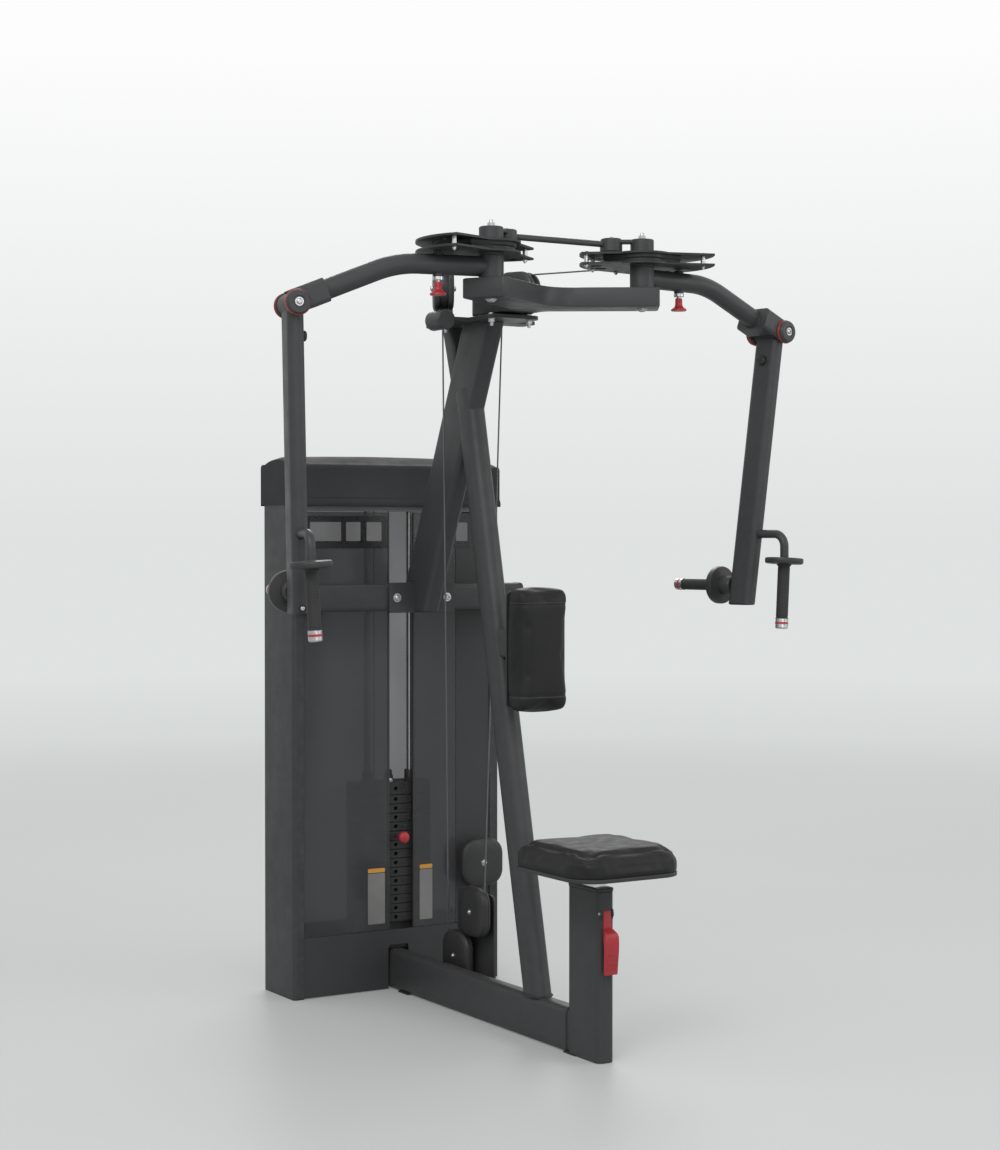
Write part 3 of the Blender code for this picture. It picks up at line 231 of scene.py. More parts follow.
def polished_steel(name, colour, roughness, stretch):
    """Chromed or zinc-plated steel with fine drawn lines along one axis."""
    made, tree, shader = nodes_of(name)
    clouded(tree, shader, colour, 0.9, 1.05, 12.0, 4.0)
    lines = noise(tree, 240.0, 4.0, stretch)
    tree.links.new(ramp(tree, lines, roughness - 0.05, roughness + 0.1), shader.inputs["Roughness"])
    shader.inputs["Metallic"].default_value = 1.0
    bumped(tree, shader, ((lines, 0.08, 0.0003),))
    return made


def leatherette(name, colour):
    """Upholstery vinyl: pebbled grain with soft creases."""
    made, tree, shader = nodes_of(name)
    clouded(tree, shader, colour, 0.86, 1.18, 7.0, 5.0)
    patchy(tree, shader, 0.4, 0.56, 35.0, 3.0)
    shader.inputs["Specular IOR Level"].default_value = 0.16
    cells = tree.nodes.new("ShaderNodeTexVoronoi")
    cells.feature = "DISTANCE_TO_EDGE"
    cells.inputs["Scale"].default_value = 430.0
    where = tree.nodes.new("ShaderNodeTexCoord")
    tree.links.new(where.outputs["Object"], cells.inputs["Vector"])
    grain = ramp(tree, cells.outputs["Distance"], 0.0, 1.0, 0.0, 0.25)
    bumped(tree, shader, ((grain, 0.22, 0.0004), (noise(tree, 55.0, 3.0), 0.16, 0.0016)))
    return made


def smoked_acrylic(name, colour, clear):
    """Dark see-through sheet: part of the light passes and the rest meets a glossy tinted surface."""
    made, tree, shader = nodes_of(name)
    clouded(tree, shader, colour, 0.93, 1.07, 3.0, 3.0)
    patchy(tree, shader, 0.1, 0.2, 18.0, 4.0)
    shader.inputs["Alpha"].default_value = 1.0 - clear
    shader.inputs["Specular IOR Level"].default_value = 0.3
    bumped(tree, shader, ((noise(tree, 6.0, 2.0), 0.03, 0.002),))
    return made


def banded_wire(name):
    """Stranded steel rope: light and dark wires twisted round the run."""
    made, tree, shader = nodes_of(name)
    where = tree.nodes.new("ShaderNodeTexCoord")
    wave = tree.nodes.new("ShaderNodeTexWave")
    wave.wave_type = "BANDS"
    wave.bands_direction = "DIAGONAL"
    wave.inputs["Scale"].default_value = 160.0
    tree.links.new(where.outputs["Object"], wave.inputs["Vector"])
    tree.links.new(
        ramp(tree, wave.outputs["Fac"], (0.05, 0.05, 0.055), (0.16, 0.16, 0.17)),
        shader.inputs["Base Color"]
    )
    shader.inputs["Metallic"].default_value = 0.6
    shader.inputs["Roughness"].default_value = 0.42
    bumped(tree, shader, ((wave.outputs["Fac"], 0.5, 0.0006),))
    return made


PAINT = powder_coat("charcoal_powder_coat", (0.033, 0.0335, 0.035))
DARK_PAINT = powder_coat("dark_powder_coat", (0.021, 0.0215, 0.0225), 0.46)
SHEET = powder_coat("panel_powder_coat", (0.034, 0.0345, 0.036), 0.42, 1100.0, 0.2)
HOOD_PAINT = powder_coat("hood_powder_coat", (0.032, 0.0325, 0.034), 0.66, 1100.0, 0.06)
# light grey sheet that gives off its own light: painted light for the lit rear wall seen through the slot
PAINTED_LIGHT_LINER = powder_coat("liner_painted_light", (0.3, 0.304, 0.31), 0.55, 900.0, 0.1, 0.36)
TRIM = powder_coat("trim_powder_coat", (0.1, 0.101, 0.104), 0.44, 1100.0)
BLACK_PLASTIC = moulded_plastic("black_plastic_grain", (0.021, 0.021, 0.022), 0.46)
RED_PLASTIC = moulded_plastic("red_plastic_grain", (0.29, 0.02, 0.026), 0.38)
GRIP_RUBBER = rubber("grip_rubber", (0.01, 0.01, 0.01))
CHROME = polished_steel("chromed_tube", (0.7, 0.7, 0.71), 0.16, (1.0, 1.0, 0.04))
ZINC = polished_steel("zinc_hardware", (0.44, 0.44, 0.45), 0.3, (1.0, 1.0, 1.0))
ROD_STEEL = polished_steel("guide_rod_steel", (0.4, 0.4, 0.41), 0.2, (1.0, 1.0, 0.03))
VINYL = leatherette("black_vinyl", (0.0115, 0.0115, 0.012))
THREAD = moulded_plastic("seam_thread", (0.085, 0.085, 0.08), 0.7)
SMOKED = smoked_acrylic("smoked_acrylic", (0.044, 0.045, 0.047), 0.3)
STACK_IRON = powder_coat("stack_enamel", (0.02, 0.02, 0.021), 0.5, 700.0)
WIRE = banded_wire("steel_rope")
PLACARD = moulded_plastic("placard_black", (0.01, 0.01, 0.011), 0.3)
PLACARD_LIGHT = moulded_plastic("placard_light", (0.115, 0.115, 0.118), 0.45)
DECAL = moulded_plastic("blank_decal", (0.135, 0.135, 0.132), 0.5)
DECAL_BAND = moulded_plastic("decal_band", (0.42, 0.2, 0.03), 0.45)

SLOTS = {
    material.name: "charcoal_paint" for material in (PAINT, DARK_PAINT, SHEET, HOOD_PAINT, PAINTED_LIGHT_LINER, TRIM)
}
SLOTS |= {
    material.name: "black_plastic"
    for material in (BLACK_PLASTIC, PLACARD, PLACARD_LIGHT, DECAL, DECAL_BAND)
}
SLOTS |= {material.name: "bright_steel" for material in (CHROME, ZINC, ROD_STEEL, WIRE)}
SLOTS |= {material.name: "black_upholstery" for material in (VINYL, THREAD)}
SLOTS[RED_PLASTIC.name] = "red_plastic"
SLOTS[GRIP_RUBBER.name] = "black_rubber"
SLOTS[SMOKED.name] = "smoked_sheet"
SLOTS[STACK_IRON.name] = "stack_iron"


# ---------------------------------------------------------------- geometry

def circle(radius, steps=40):
    return [
        (radius * math.cos(2 * math.pi * i / steps), radius * math.sin(2 * math.pi * i / steps))
        for i in range(steps)
    ]


def rounded_rectangle(width, depth, radius, steps=6):
    outline = []
    for sx, sy, start in ((1, 1, 0), (-1, 1, 90), (-1, -1, 180), (1, -1, 270)):
        for i in range(steps + 1):
            turn = math.radians(start + 90 * i / steps)
            x = sx * (width / 2 - radius) + radius * math.cos(turn)
            y = sy * (depth / 2 - radius) + radius * math.sin(turn)
            outline.append((x, y))
    return outline


def arc(centre, radius, start, end, steps):
    turns = [math.radians(start + (end - start) * i / steps) for i in range(steps + 1)]
    return [(centre[0] + radius * math.cos(t), centre[1] + radius * math.sin(t)) for t in turns]


def strip(rings):
    """Faces that join equal rings in order, with both ends closed."""
    count = len(rings[0])
    points = [p for ring in rings for p in ring]
    faces = [list(range(count))[::-1]]
    for ring in range(len(rings) - 1):
        low = ring * count
        for j in range(count):
            k = (j + 1) % count
            faces.append([low + j, low + k, low + count + k, low + count + j])
    faces.append(list(range(len(points) - count, len(points))))
    return points, faces


def swept(outline, path, up=UP, sizes=None):
    """Outline drawn along a path, mitred at its bends; sizes scales the outline at each point."""
    path = [Vector(p) for p in path]
    rings = []
    for i, centre in enumerate(path):
        before = (centre - path[i - 1]).normalized() if i else None
        after = (path[i + 1] - centre).normalized() if i + 1 < len(path) else None
        run = after or before
        middle = (before + after).normalized() if before and after else run
        side = run.cross(Vector(up)).normalized()
        rise = side.cross(run).normalized()
        size = sizes[i] if sizes else 1.0
        ring = []
        for u, v in outline:
            offset = (side * u + rise * v) * size
            ring.append(centre + offset - run * (offset.dot(middle) / run.dot(middle)))
        rings.append(ring)
    return strip(rings)


def shifted(outline, x, y):
    return [(u + x, v + y) for u, v in outline]


def raised(outline, bottom, top):
    return strip([[Vector((x, y, z)) for x, y in outline] for z in (bottom, top)])


def turned(profile, base, axis, steps=48, hexagons=()):
    """Solid of revolution; rings listed in hexagons are six-sided."""
    axis = Vector(axis).normalized()
    side = axis.orthogonal().normalized()
    across = axis.cross(side)
    rings = []
    for number, (radius, height) in enumerate(profile):
        ring = []
        for i in range(steps):
            turn = 2 * math.pi * i / steps
            reach = max(radius, 1e-5)
            if number in hexagons:
                reach *= math.cos(math.pi / 6) / math.cos((turn % (math.pi / 3)) - math.pi / 6)
            ring.append(
                Vector(base) + axis * height + reach * (side * math.cos(turn) + across * math.sin(turn))
            )
        rings.append(ring)
    return strip(rings)


def tube_between(start, end, radius, steps=32):
    run = Vector(end) - Vector(start)
    up = TO_RIGHT if abs(run.normalized().z) > 0.9 else UP
    return swept(circle(radius, steps), [start, end], up)


def upright(outline, y, thick):
    """Sheet that stands across the machine, thick towards the rear."""
    face = [Vector((x, y, z)) for x, z in outline]
    return strip([face, [p + Vector((0, thick, 0)) for p in face]])


def lengthwise(outline, sides):
    """Sheet that stands along the machine between two values of x."""
    return strip([[Vector((x, y, z)) for y, z in outline] for x in sides])


def level_slab(form, middle, low, high):
    """Level slab with rounded corners; form is its width, depth, corner radius and steps to a corner."""
    return raised(shifted(rounded_rectangle(*form), *middle), low, high)


def front_panel(form, middle, y, thick):
    """The same standing across the machine, thick towards the rear."""
    return upright(shifted(rounded_rectangle(*form), *middle), y, thick)


def bar_along(form, path, up=UP, sizes=None):
    """Bar with that cross-section along a path."""
    return swept(rounded_rectangle(*form), path, up, sizes)


def placed(name, data):
    """New object in the scene."""
    obj = bpy.data.objects.new(name, data)
    bpy.context.scene.collection.objects.link(obj)
    return obj


def evaluated(obj):
    """Mesh of obj with its modifiers applied."""
    graph = bpy.context.evaluated_depsgraph_get()
    return bpy.data.meshes.new_from_object(obj.evaluated_get(graph))


def build(name, shape):
    """Clean object from points and faces."""
    points, faces = shape
    mesh = bpy.data.meshes.new(name)
    mesh.from_pydata([tuple(p) for p in points], [], faces)
    work = bmesh.new()
    work.from_mesh(mesh)
    bmesh.ops.remove_doubles(work, verts=work.verts, dist=2e-6)
    bmesh.ops.recalc_face_normals(work, faces=work.faces)
    work.to_mesh(mesh)
    work.free()
    return placed(name, mesh)


def cut(target, *shapes):
    """Takes the shapes out of target with exact Booleans."""
    for number, shape in enumerate(shapes):
        tool = build(f"{target.name}_cutter_{number}", shape)
        modifier = target.modifiers.new("cut", "BOOLEAN")
        modifier.operation = "DIFFERENCE"
        modifier.solver = "EXACT"
        modifier.object = tool
        result = evaluated(target)
        target.modifiers.clear()
        target.data = result
        bpy.data.objects.remove(tool, do_unlink=True)
    return target


def softened(obj, width):
    """Rounds the sharp edges of obj."""
    modifier = obj.modifiers.new("edges", "BEVEL")
    modifier.width = width
    modifier.segments = 3
    modifier.limit_method = "ANGLE"
    modifier.angle_limit = math.radians(32)
    return obj


def dress(obj, finish, body="frame", stands_for=()):
    """Shading, material and body of a finished piece."""
    obj.data.materials.clear()
    obj.data.materials.append(finish)
    obj.data.shade_smooth()
    obj.data.set_sharp_from_angle(angle=math.radians(38))
    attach(obj, body)
    if stands_for:
        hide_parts(*stands_for)
    return obj


def piece(name, shape, finish, body="frame", stands_for=(), edge=0.0, cutters=(), slot=None):
    """One visible piece: built, cut, edges rounded, dressed."""
    obj = build(name, shape)
    if cutters:
        cut(obj, *cutters)
    if edge:
        softened(obj, edge)
    return dress(obj, finish, body, stands_for)


def lathe(name, profile, base, axis, steps, finish, body="frame", **more):
    """One visible piece turned round an axis."""
    return piece(name, turned(profile, base, axis, steps), finish, body, **more)


SCREW_COUNT = [0]


def screw(place, axis, radius, body="frame", height=None, washer=True):
    """Button-head socket screw on a washer."""
    height = height or radius * 0.62
    SCREW_COUNT[0] += 1
    name = f"screw_{SCREW_COUNT[0]:02d}"
    rim = radius * 1.45
    thick = radius * 0.16 if washer else 0.0
    profile = [(0.0, -0.001)]
    if washer:
        profile += [(rim, -0.001), (rim, thick * 0.7), (rim * 0.97, thick)]
    profile += [
        (radius, thick), (radius, thick + height * 0.25), (radius * 0.88, thick + height * 0.7),
        (radius * 0.62, thick + height * 0.97), (radius * 0.5, thick + height)
    ]
    sockets = (len(profile), len(profile) + 1)
    profile += [
        (radius * 0.48, thick + height * 0.98), (radius * 0.46, thick + height * 0.35),
        (0.0, thick + height * 0.3)
    ]
    return piece(name, turned(profile, place, axis, 30, sockets), ZINC, body)


def nut(place, axis, radius, body="frame", length=0.008, stud=0.006):
    """Hexagon nut with the end of its bolt."""
    SCREW_COUNT[0] += 1
    name = f"nut_{SCREW_COUNT[0]:02d}"
    profile = [
        (0.0, -0.001), (radius * 1.25, -0.001), (radius * 1.25, 0.0012), (radius, 0.0012),
        (radius, length * 0.9), (radius * 0.86, length), (radius * 0.52, length),
        (radius * 0.52, length + stud * 0.8), (radius * 0.42, length + stud), (0.0, length + stud)
    ]
    return piece(name, turned(profile, place, axis, 36, (3, 4)), ZINC, body)


def weld(name, path, body="frame", radius=0.0028, closed=True):
    """Rippled weld bead along a closed path."""
    path = [Vector(p) for p in path]
    if closed:
        path.append(path[0])
    length = sum((b - a).length for a, b in zip(path, path[1:]))
    count = max(12, int(length / 0.0035))
    points = []
    travelled = 0.0
    step = length / count
    target = 0.0
    for a, b in zip(path, path[1:]):
        run = (b - a).length
        while target <= travelled + run + 1e-9 and run > 0:
            points.append(a.lerp(b, (target - travelled) / run))
            target += step
        travelled += run
    curve = bpy.data.curves.new(name, "CURVE")
    curve.dimensions = "3D"
    curve.bevel_depth = radius
    curve.bevel_resolution = 2
    curve.use_fill_caps = True
    spline = curve.splines.new("POLY")
    spline.points.add(len(points) - 1)
    for i, (point, place) in enumerate(zip(spline.points, points)):
        point.co = (*place, 1.0)
        point.radius = 1.0 + 0.18 * math.sin(i * 1.9)
    holder = placed(name + "_curve", curve)
    mesh = evaluated(holder)
    bpy.data.objects.remove(holder, do_unlink=True)
    return dress(placed(name, mesh), DARK_PAINT, body)


def rope(name, path, node):
    """Steel rope along a path, in place of a CAD cable."""
    return piece(name, swept(circle(CABLE_RADIUS, 12), path, (0.31, 0.17, 0.93)), WIRE, stands_for=(node,))


def polar(side, angle, reach, z):
    """Point at an angle and a reach from a pivot, mirrored for the left side."""
    return Vector((side * (PIVOT.x + reach * math.cos(angle)), PIVOT.y + reach * math.sin(angle), z))


def arm_frame(side):
    """Directions along and across an arm, in plan."""
    along = Vector((side * math.cos(ARM_ANGLE), math.sin(ARM_ANGLE), 0))
    across = Vector((-side * math.sin(ARM_ANGLE), math.cos(ARM_ANGLE), 0))
    return along, across


# ---------------------------------------------------------------- camera, floor and light

def make_view():
    """Camera, sky, floor and lamps."""
    data = bpy.data.cameras.new("photo_camera")
    data.lens = 68.87
    data.sensor_width = 36.0
    data.clip_end = 200.0
    camera = placed("photo_camera", data)
    camera.location = (-3.06, -5.055, 1.306)
    camera.rotation_euler = (math.radians(90 - 1.012), 0, math.radians(-31.48))
    bpy.context.scene.camera = camera

    world = bpy.data.worlds.new("studio")
    world.use_nodes = True
    bpy.context.scene.world = world
    tree = world.node_tree
    background = tree.nodes["Background"]
    where = tree.nodes.new("ShaderNodeTexCoord")
    split = tree.nodes.new("ShaderNodeSeparateXYZ")
    tree.links.new(where.outputs["Generated"], split.inputs[0])
    sky = ramp(tree, split.outputs["Z"], (0.735, 0.76, 0.755), (0.985, 0.985, 0.985), 0.0, 0.22)
    tree.links.new(sky, background.inputs["Color"])
    background.inputs["Strength"].default_value = 1.0
    bpy.context.scene.view_settings.view_transform = "Standard"

    floor = build("floor", raised(circle(60.0, 64), -0.03, -0.0005))
    made, tree, shader = nodes_of("pale_floor")
    shader.inputs["Roughness"].default_value = 0.45
    shader.inputs["Specular IOR Level"].default_value = 0.25
    where = tree.nodes.new("ShaderNodeTexCoord")
    reach = tree.nodes.new("ShaderNodeVectorMath")
    reach.operation = "LENGTH"
    tree.links.new(where.outputs["Object"], reach.inputs[0])
    tone = ramp(tree, noise(tree, 0.5, 2.0), (0.395, 0.412, 0.408), (0.412, 0.43, 0.425))
    tree.links.new(tone, shader.inputs["Base Color"])
    glow = tree.nodes.new("ShaderNodeEmission")
    fade = tree.nodes.new("ShaderNodeMapRange")
    fade.inputs["From Min"].default_value = 2.2
    fade.inputs["From Max"].default_value = 15.0
    tree.links.new(reach.outputs["Value"], fade.inputs["Value"])
    tree.links.new(
        ramp(tree, fade.outputs["Result"], (0.6, 0.625, 0.618), (0.735, 0.76, 0.755), 0.0, 1.0),
        glow.inputs["Color"]
    )
    mix = tree.nodes.new("ShaderNodeMixShader")
    tree.links.new(ramp(tree, fade.outputs["Result"], 0.15, 1.0, 0.0, 0.5), mix.inputs["Fac"])
    tree.links.new(shader.outputs["BSDF"], mix.inputs[1])
    tree.links.new(glow.outputs["Emission"], mix.inputs[2])
    tree.links.new(mix.outputs["Shader"], tree.nodes["Material Output"].inputs["Surface"])
    floor.data.materials.append(made)

    lamps = (
        ("key_light", (-3.4, -3.2, 4.4), 2.6, 150.0),
        ("fill_light", (3.8, -3.6, 2.6), 2.8, 55.0),
        ("front_light", (-1.2, -6.4, 1.8), 2.4, 45.0),
        ("back_light", (2.2, 4.0, 4.6), 2.4, 90.0),
    )
    for name, place, size, power in lamps:
        light = bpy.data.lights.new(name, "AREA")
        light.shape = "SQUARE"
        light.size = size
        light.energy = power
        lamp = placed(name, light)
        lamp.location = place
        lamp.rotation_euler = (Vector((0, 0, 1.1)) - Vector(place)).to_track_quat("-Z", "Y").to_euler()


# ---------------------------------------------------------------- base and seat post

STRUT_FOOT = Vector((0.0, -0.245, 0.115))
STRUT_HEAD = Vector((0.0, 0.102, 1.69))
MAST_FOOT = Vector((0.0, 0.369, 1.125))
MAST_LEAN = -0.452
NOSE_Y = POST_LOW.y
LEVER = joint_at("lever_pivot")


def mast_point(z, forward=0.0):
    return Vector((0.0, MAST_FOOT.y + MAST_LEAN * (z - MAST_FOOT.z) + forward, z))


def make_base():
    """Base beam, seat post with its collar and lever ears, front strut, feet."""
    height = BEAM_HIGH.z
    beam = bar_along(
        (TUBE.x, height, TUBE_CORNER, 6),
        [(0, POST_HIGH.y - 0.012, height / 2), (0, BEAM_HIGH.y, height / 2)]
    )
    piece("base_beam_tube", beam, PAINT, stands_for=("base_beam",), edge=0.0012)
    ring = [
        Vector((x, POST_HIGH.y + 0.0012, z + height / 2))
        for x, z in rounded_rectangle(TUBE.x + 0.001, height + 0.001, TUBE_CORNER)
    ]
    weld("beam_to_post_weld", [p for p in ring if p.z > 0.004], closed=False)

    shell = level_slab((TUBE.x, TUBE.y, TUBE_CORNER, 8), (0, POST_Y), 0.0, POST_HIGH.z)
    wall = 0.0045
    bore = level_slab((TUBE.x - 2 * wall, TUBE.y - 2 * wall, TUBE_CORNER - wall, 8), (0, POST_Y), 0.06, 0.6)
    hole = tube_between((0, NOSE_Y - 0.02, LOCK_Z), (0, NOSE_Y + 0.02, LOCK_Z), 0.0085)
    piece("seat_post_tube", shell, PAINT, stands_for=("seat_post",), edge=0.001, cutters=(bore, hole))
    for side, word in SIDES:
        cheek = [
            (LEVER.y - 0.011, LEVER.z - 0.004), (LEVER.y - 0.009, LEVER.z + 0.008),
            (LEVER.y, LEVER.z + 0.012), (NOSE_Y + 0.002, LEVER.z + 0.014), (NOSE_Y + 0.002, LEVER.z - 0.05),
            (LEVER.y + 0.002, LEVER.z - 0.03)
        ]
        ear = lengthwise(cheek, (side * 0.0135, side * 0.0185))
        piece("lever_ear_" + word, ear, PAINT, edge=0.001)
    screw((-0.0185, LEVER.y, LEVER.z), (-1, 0, 0), 0.0042)
    nut((0.0185, LEVER.y, LEVER.z), TO_RIGHT, 0.0042, length=0.004, stud=0.002)

    rim = level_slab(
        (TUBE.x + 0.003, TUBE.y + 0.003, TUBE_CORNER + 0.001, 8), (0, POST_Y), POST_HIGH.z + 0.0003,
        POST_HIGH.z + 0.009
    )
    way = level_slab((0.0388, 0.1048, 0.0124, 6), (0, POST_Y), 0.3, 0.6)
    piece("seat_post_collar", rim, BLACK_PLASTIC, stands_for=("seat_collar",), edge=0.0016, cutters=(way,))

    run = (STRUT_HEAD - STRUT_FOOT).normalized()
    outline = rounded_rectangle(0.06, 0.082, 0.029, 10)
    strut = build(
        "front_strut_tube", swept(outline, [STRUT_FOOT - run * 0.03, STRUT_HEAD + run * 0.012], TO_REAR)
    )
    cut(strut, raised(rounded_rectangle(1.4, 1.4, 0.1, 1), -0.4, height - 0.004))
    dress(strut, PAINT, stands_for=("front_strut",))
    foot = []
    for u, v in rounded_rectangle(0.062, 0.084, 0.03, 8):
        foot.append(Vector((u, STRUT_FOOT.y + v / run.z, height + 0.0008)))
    weld("strut_foot_weld", foot)

    for number, y in enumerate((-0.435, 0.43)):
        pad = level_slab((TUBE.x + 0.006, 0.06, 0.006, 3), (0, y), 0.0, 0.004)
        piece(f"beam_foot_{number}", pad, GRIP_RUBBER, edge=0.0008)


def make_mast():
    """Mast with its foot flange, crossbar and rear brace."""
    outline = rounded_rectangle(TUBE.x, TUBE.y, TUBE_CORNER, 8)
    mast = build("mast_tube", swept(outline, [mast_point(1.02), mast_point(1.95)], TO_REAR))
    cut(
        mast,
        raised(rounded_rectangle(1.2, 2.4, 0.1, 1), 0.7, MAST_LOW.z),
        raised(rounded_rectangle(1.2, 2.4, 0.1, 1), MAST_HIGH.z, 2.3),
        level_slab((0.4, 0.6, 0.01, 1), (0, BAR_LOW.y - 0.0105 + 0.3), 0.8, 1.1758),
    )
    softened(mast, 0.001)
    dress(mast, PAINT, stands_for=("mast",))

    front = BAR_LOW.y - 0.01
    plate = front_panel((0.21, 0.085, 0.006, 3), (0, 1.133), front, 0.0097)
    piece("mast_foot_flange", plate, PAINT, stands_for=("mast_base_plate",), edge=0.0012)
    for x in (-0.081, 0.081):
        screw((x, front, 1.133), TO_FRONT, 0.0085)
    for side, word in SIDES:
        seam = [Vector((side * (TUBE.x / 2 + 0.0008), front - 0.0006, z)) for z in (1.092, 1.174)]
        weld("mast_foot_weld_" + word, seam, radius=0.0024, closed=False)

    y_mid = (BAR_LOW.y + 0.4275) / 2
    z_mid = (BAR_LOW.z + BAR_HIGH.z) / 2
    height = BAR_HIGH.z - BAR_LOW.z
    bar_half = BAR_HIGH.x
    bar = bar_along(
        (0.055, height, 0.014, 6), [(-bar_half + 0.01, y_mid, z_mid), (bar_half - 0.01, y_mid, z_mid)]
    )
    piece("crossbar_tube", bar, PAINT, stands_for=("crossbar",))
    for side, word in SIDES:
        path = [
            (side * (bar_half - 0.012), y_mid, z_mid), (side * (bar_half - 0.003), y_mid, z_mid),
            (side * bar_half, y_mid, z_mid)
        ]
        cap = bar_along((0.0565, height + 0.0015, 0.0145, 6), path, sizes=(1.0, 1.0, 0.9))
        piece("crossbar_cap_" + word, cap, BLACK_PLASTIC, edge=0.0014)
        corner_points = ((0.31, 0.42), (0.31, 0.4997), (0.336, 0.4997), (0.336, 0.42))
        standoff = raised([(side * x, y) for x, y in corner_points], 1.104, 1.162)
        piece("crossbar_standoff_" + word, standoff, PAINT, edge=0.0014)

    brace = bar_along(
        (0.044, 0.05, 0.012, 6), [(0, 0.125, 1.655), (0, 0.1925, MAST_HIGH.z + 0.0015)], TO_REAR
    )
    piece("rear_brace_tube", brace, PAINT, stands_for=("rear_brace",), edge=0.0008)
    arch = []
    for i in range(25):
        turn = math.pi * i / 24
        z = 1.6 + 0.094 * math.sin(turn)
        arch.append(mast_point(z, -0.0655 - 0.0008) + Vector((0.026 * math.cos(turn), 0, 0)))
    weld("strut_head_weld", arch, radius=0.0024, closed=False)


def make_seat_post_lever():
    """Red lever on the seat post and the lock pin behind it."""
    side = [
        (0.0105, 0.004), (0.006, 0.0125), (-0.004, 0.0125), (-0.0105, 0.004), (-0.0125, -0.03),
        (-0.0165, -0.055), (-0.029, -0.143), (-0.027, -0.149), (-0.02, -0.149), (-0.0135, -0.09),
        (-0.004, -0.05), (0.0075, -0.012)
    ]
    rings = []
    for x in (-0.0115, -0.0085, 0.0085, 0.0115):
        inset = 0.94 if abs(x) > 0.01 else 1.0
        rings.append([Vector((x, LEVER.y + v * inset, LEVER.z + h)) for v, h in side])
    slot_z = LEVER.z - 0.0635
    slot = bar_along((0.0136, 0.022, 0.006, 6), [(0, LEVER.y - 0.06, slot_z), (0, LEVER.y + 0.03, slot_z)])
    piece(
        "seat_lever_body", strip(rings), RED_PLASTIC, "lever", stands_for=("seat_lever",), edge=0.0016,
        cutters=(slot,)
    )
    spine = (
        (-0.036, -0.013, 0.46), (-0.042, -0.02, 0.66), (-0.049, -0.0272, 0.86), (-0.056, -0.029, 0.97),
        (-0.072, -0.0291, 1.0), (-0.09, -0.0285, 1.0), (-0.11, -0.0272, 0.97), (-0.13, -0.0258, 0.94),
        (-0.149, -0.0246, 0.92)
    )
    path = [LEVER + Vector((0, y, z)) for z, y, _ in spine]
    paddle = bar_along((0.043, 0.0105, 0.005, 5), path, TO_REAR, [size for _, _, size in spine])
    piece("seat_lever_paddle", paddle, RED_PLASTIC, "lever", edge=0.0014)
    for number in range(4):
        z = -0.098 - 0.012 * number
        y = LEVER.y - 0.033 - 0.07 * (z + 0.098)
        rib = swept(circle(0.0014, 12), [(-0.014, y, LEVER.z + z), (0.014, y, LEVER.z + z)])
        piece(f"paddle_rib_{number}", rib, RED_PLASTIC, "lever")
    pin_low, pin_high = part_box("lock_pin")
    reach = pin_high[1] - pin_low[1]
    profile = [
        (0.0, 0.0), (0.0056, 0.0), (0.006, 0.0008), (0.006, 0.0026), (0.005, 0.0034),
        (0.005, reach - 0.0007), (0.0044, reach), (0.0, reach)
    ]
    lathe(
        "lock_pin_body", profile, (0, pin_low[1], LOCK_Z), TO_REAR, 32, ZINC, "lock",
        stands_for=("lock_pin",)
    )


# ---------------------------------------------------------------- padding

VOXEL = 0.0055
CLOTH_STEPS = 20
SEAM_INSET = 0.036


def simulate(obj, pinned, cap):
    """Swells a closed form like stuffed upholstery, with cloth under pressure whose travel is capped."""
    modifier = obj.modifiers.new("voxels", "REMESH")
    modifier.mode = "VOXEL"
    modifier.voxel_size = VOXEL
    obj.data = evaluated(obj)
    obj.modifiers.clear()
    start = [v.co.copy() for v in obj.data.vertices]
    group = obj.vertex_groups.new(name="held")
    group.add([i for i, co in enumerate(start) if pinned(co)], 1.0, "REPLACE")
    cloth = obj.modifiers.new("cloth", "CLOTH")
    cloth.settings.quality = 5
    cloth.settings.mass = 0.25
    cloth.settings.use_pressure = True
    cloth.settings.uniform_pressure_force = 4.0
    cloth.settings.tension_stiffness = 18
    cloth.settings.compression_stiffness = 18
    cloth.settings.bending_stiffness = 1.2
    cloth.settings.vertex_group_mass = "held"
    cloth.settings.effector_weights.gravity = 0.0
    cloth.point_cache.frame_start = 1
    cloth.point_cache.frame_end = CLOTH_STEPS
    for step in range(1, CLOTH_STEPS + 1):
        bpy.context.scene.frame_set(step)
    shaped = evaluated(obj)
    for before, vertex in zip(start, shaped.vertices):
        move = vertex.co - before
        if move.length > cap:
            vertex.co = before + move.normalized() * cap
    obj.modifiers.clear()
    obj.data = shaped
    bpy.context.scene.frame_set(1)
    return obj


def relaxed(obj, rounds):
    """Evens the surface out."""
    work = bmesh.new()
    work.from_mesh(obj.data)
    for _ in range(rounds):
        bmesh.ops.smooth_vert(
            work, verts=work.verts[:], factor=0.5, use_axis_x=True, use_axis_y=True, use_axis_z=True
        )
    work.to_mesh(obj.data)
    work.free()
    return obj


def subdivided(obj):
    """Splits each face in four smooth ones."""
    modifier = obj.modifiers.new("finer", "SUBSURF")
    modifier.levels = 1
    modifier.render_levels = 1
    obj.data = evaluated(obj)
    obj.modifiers.clear()
    return obj


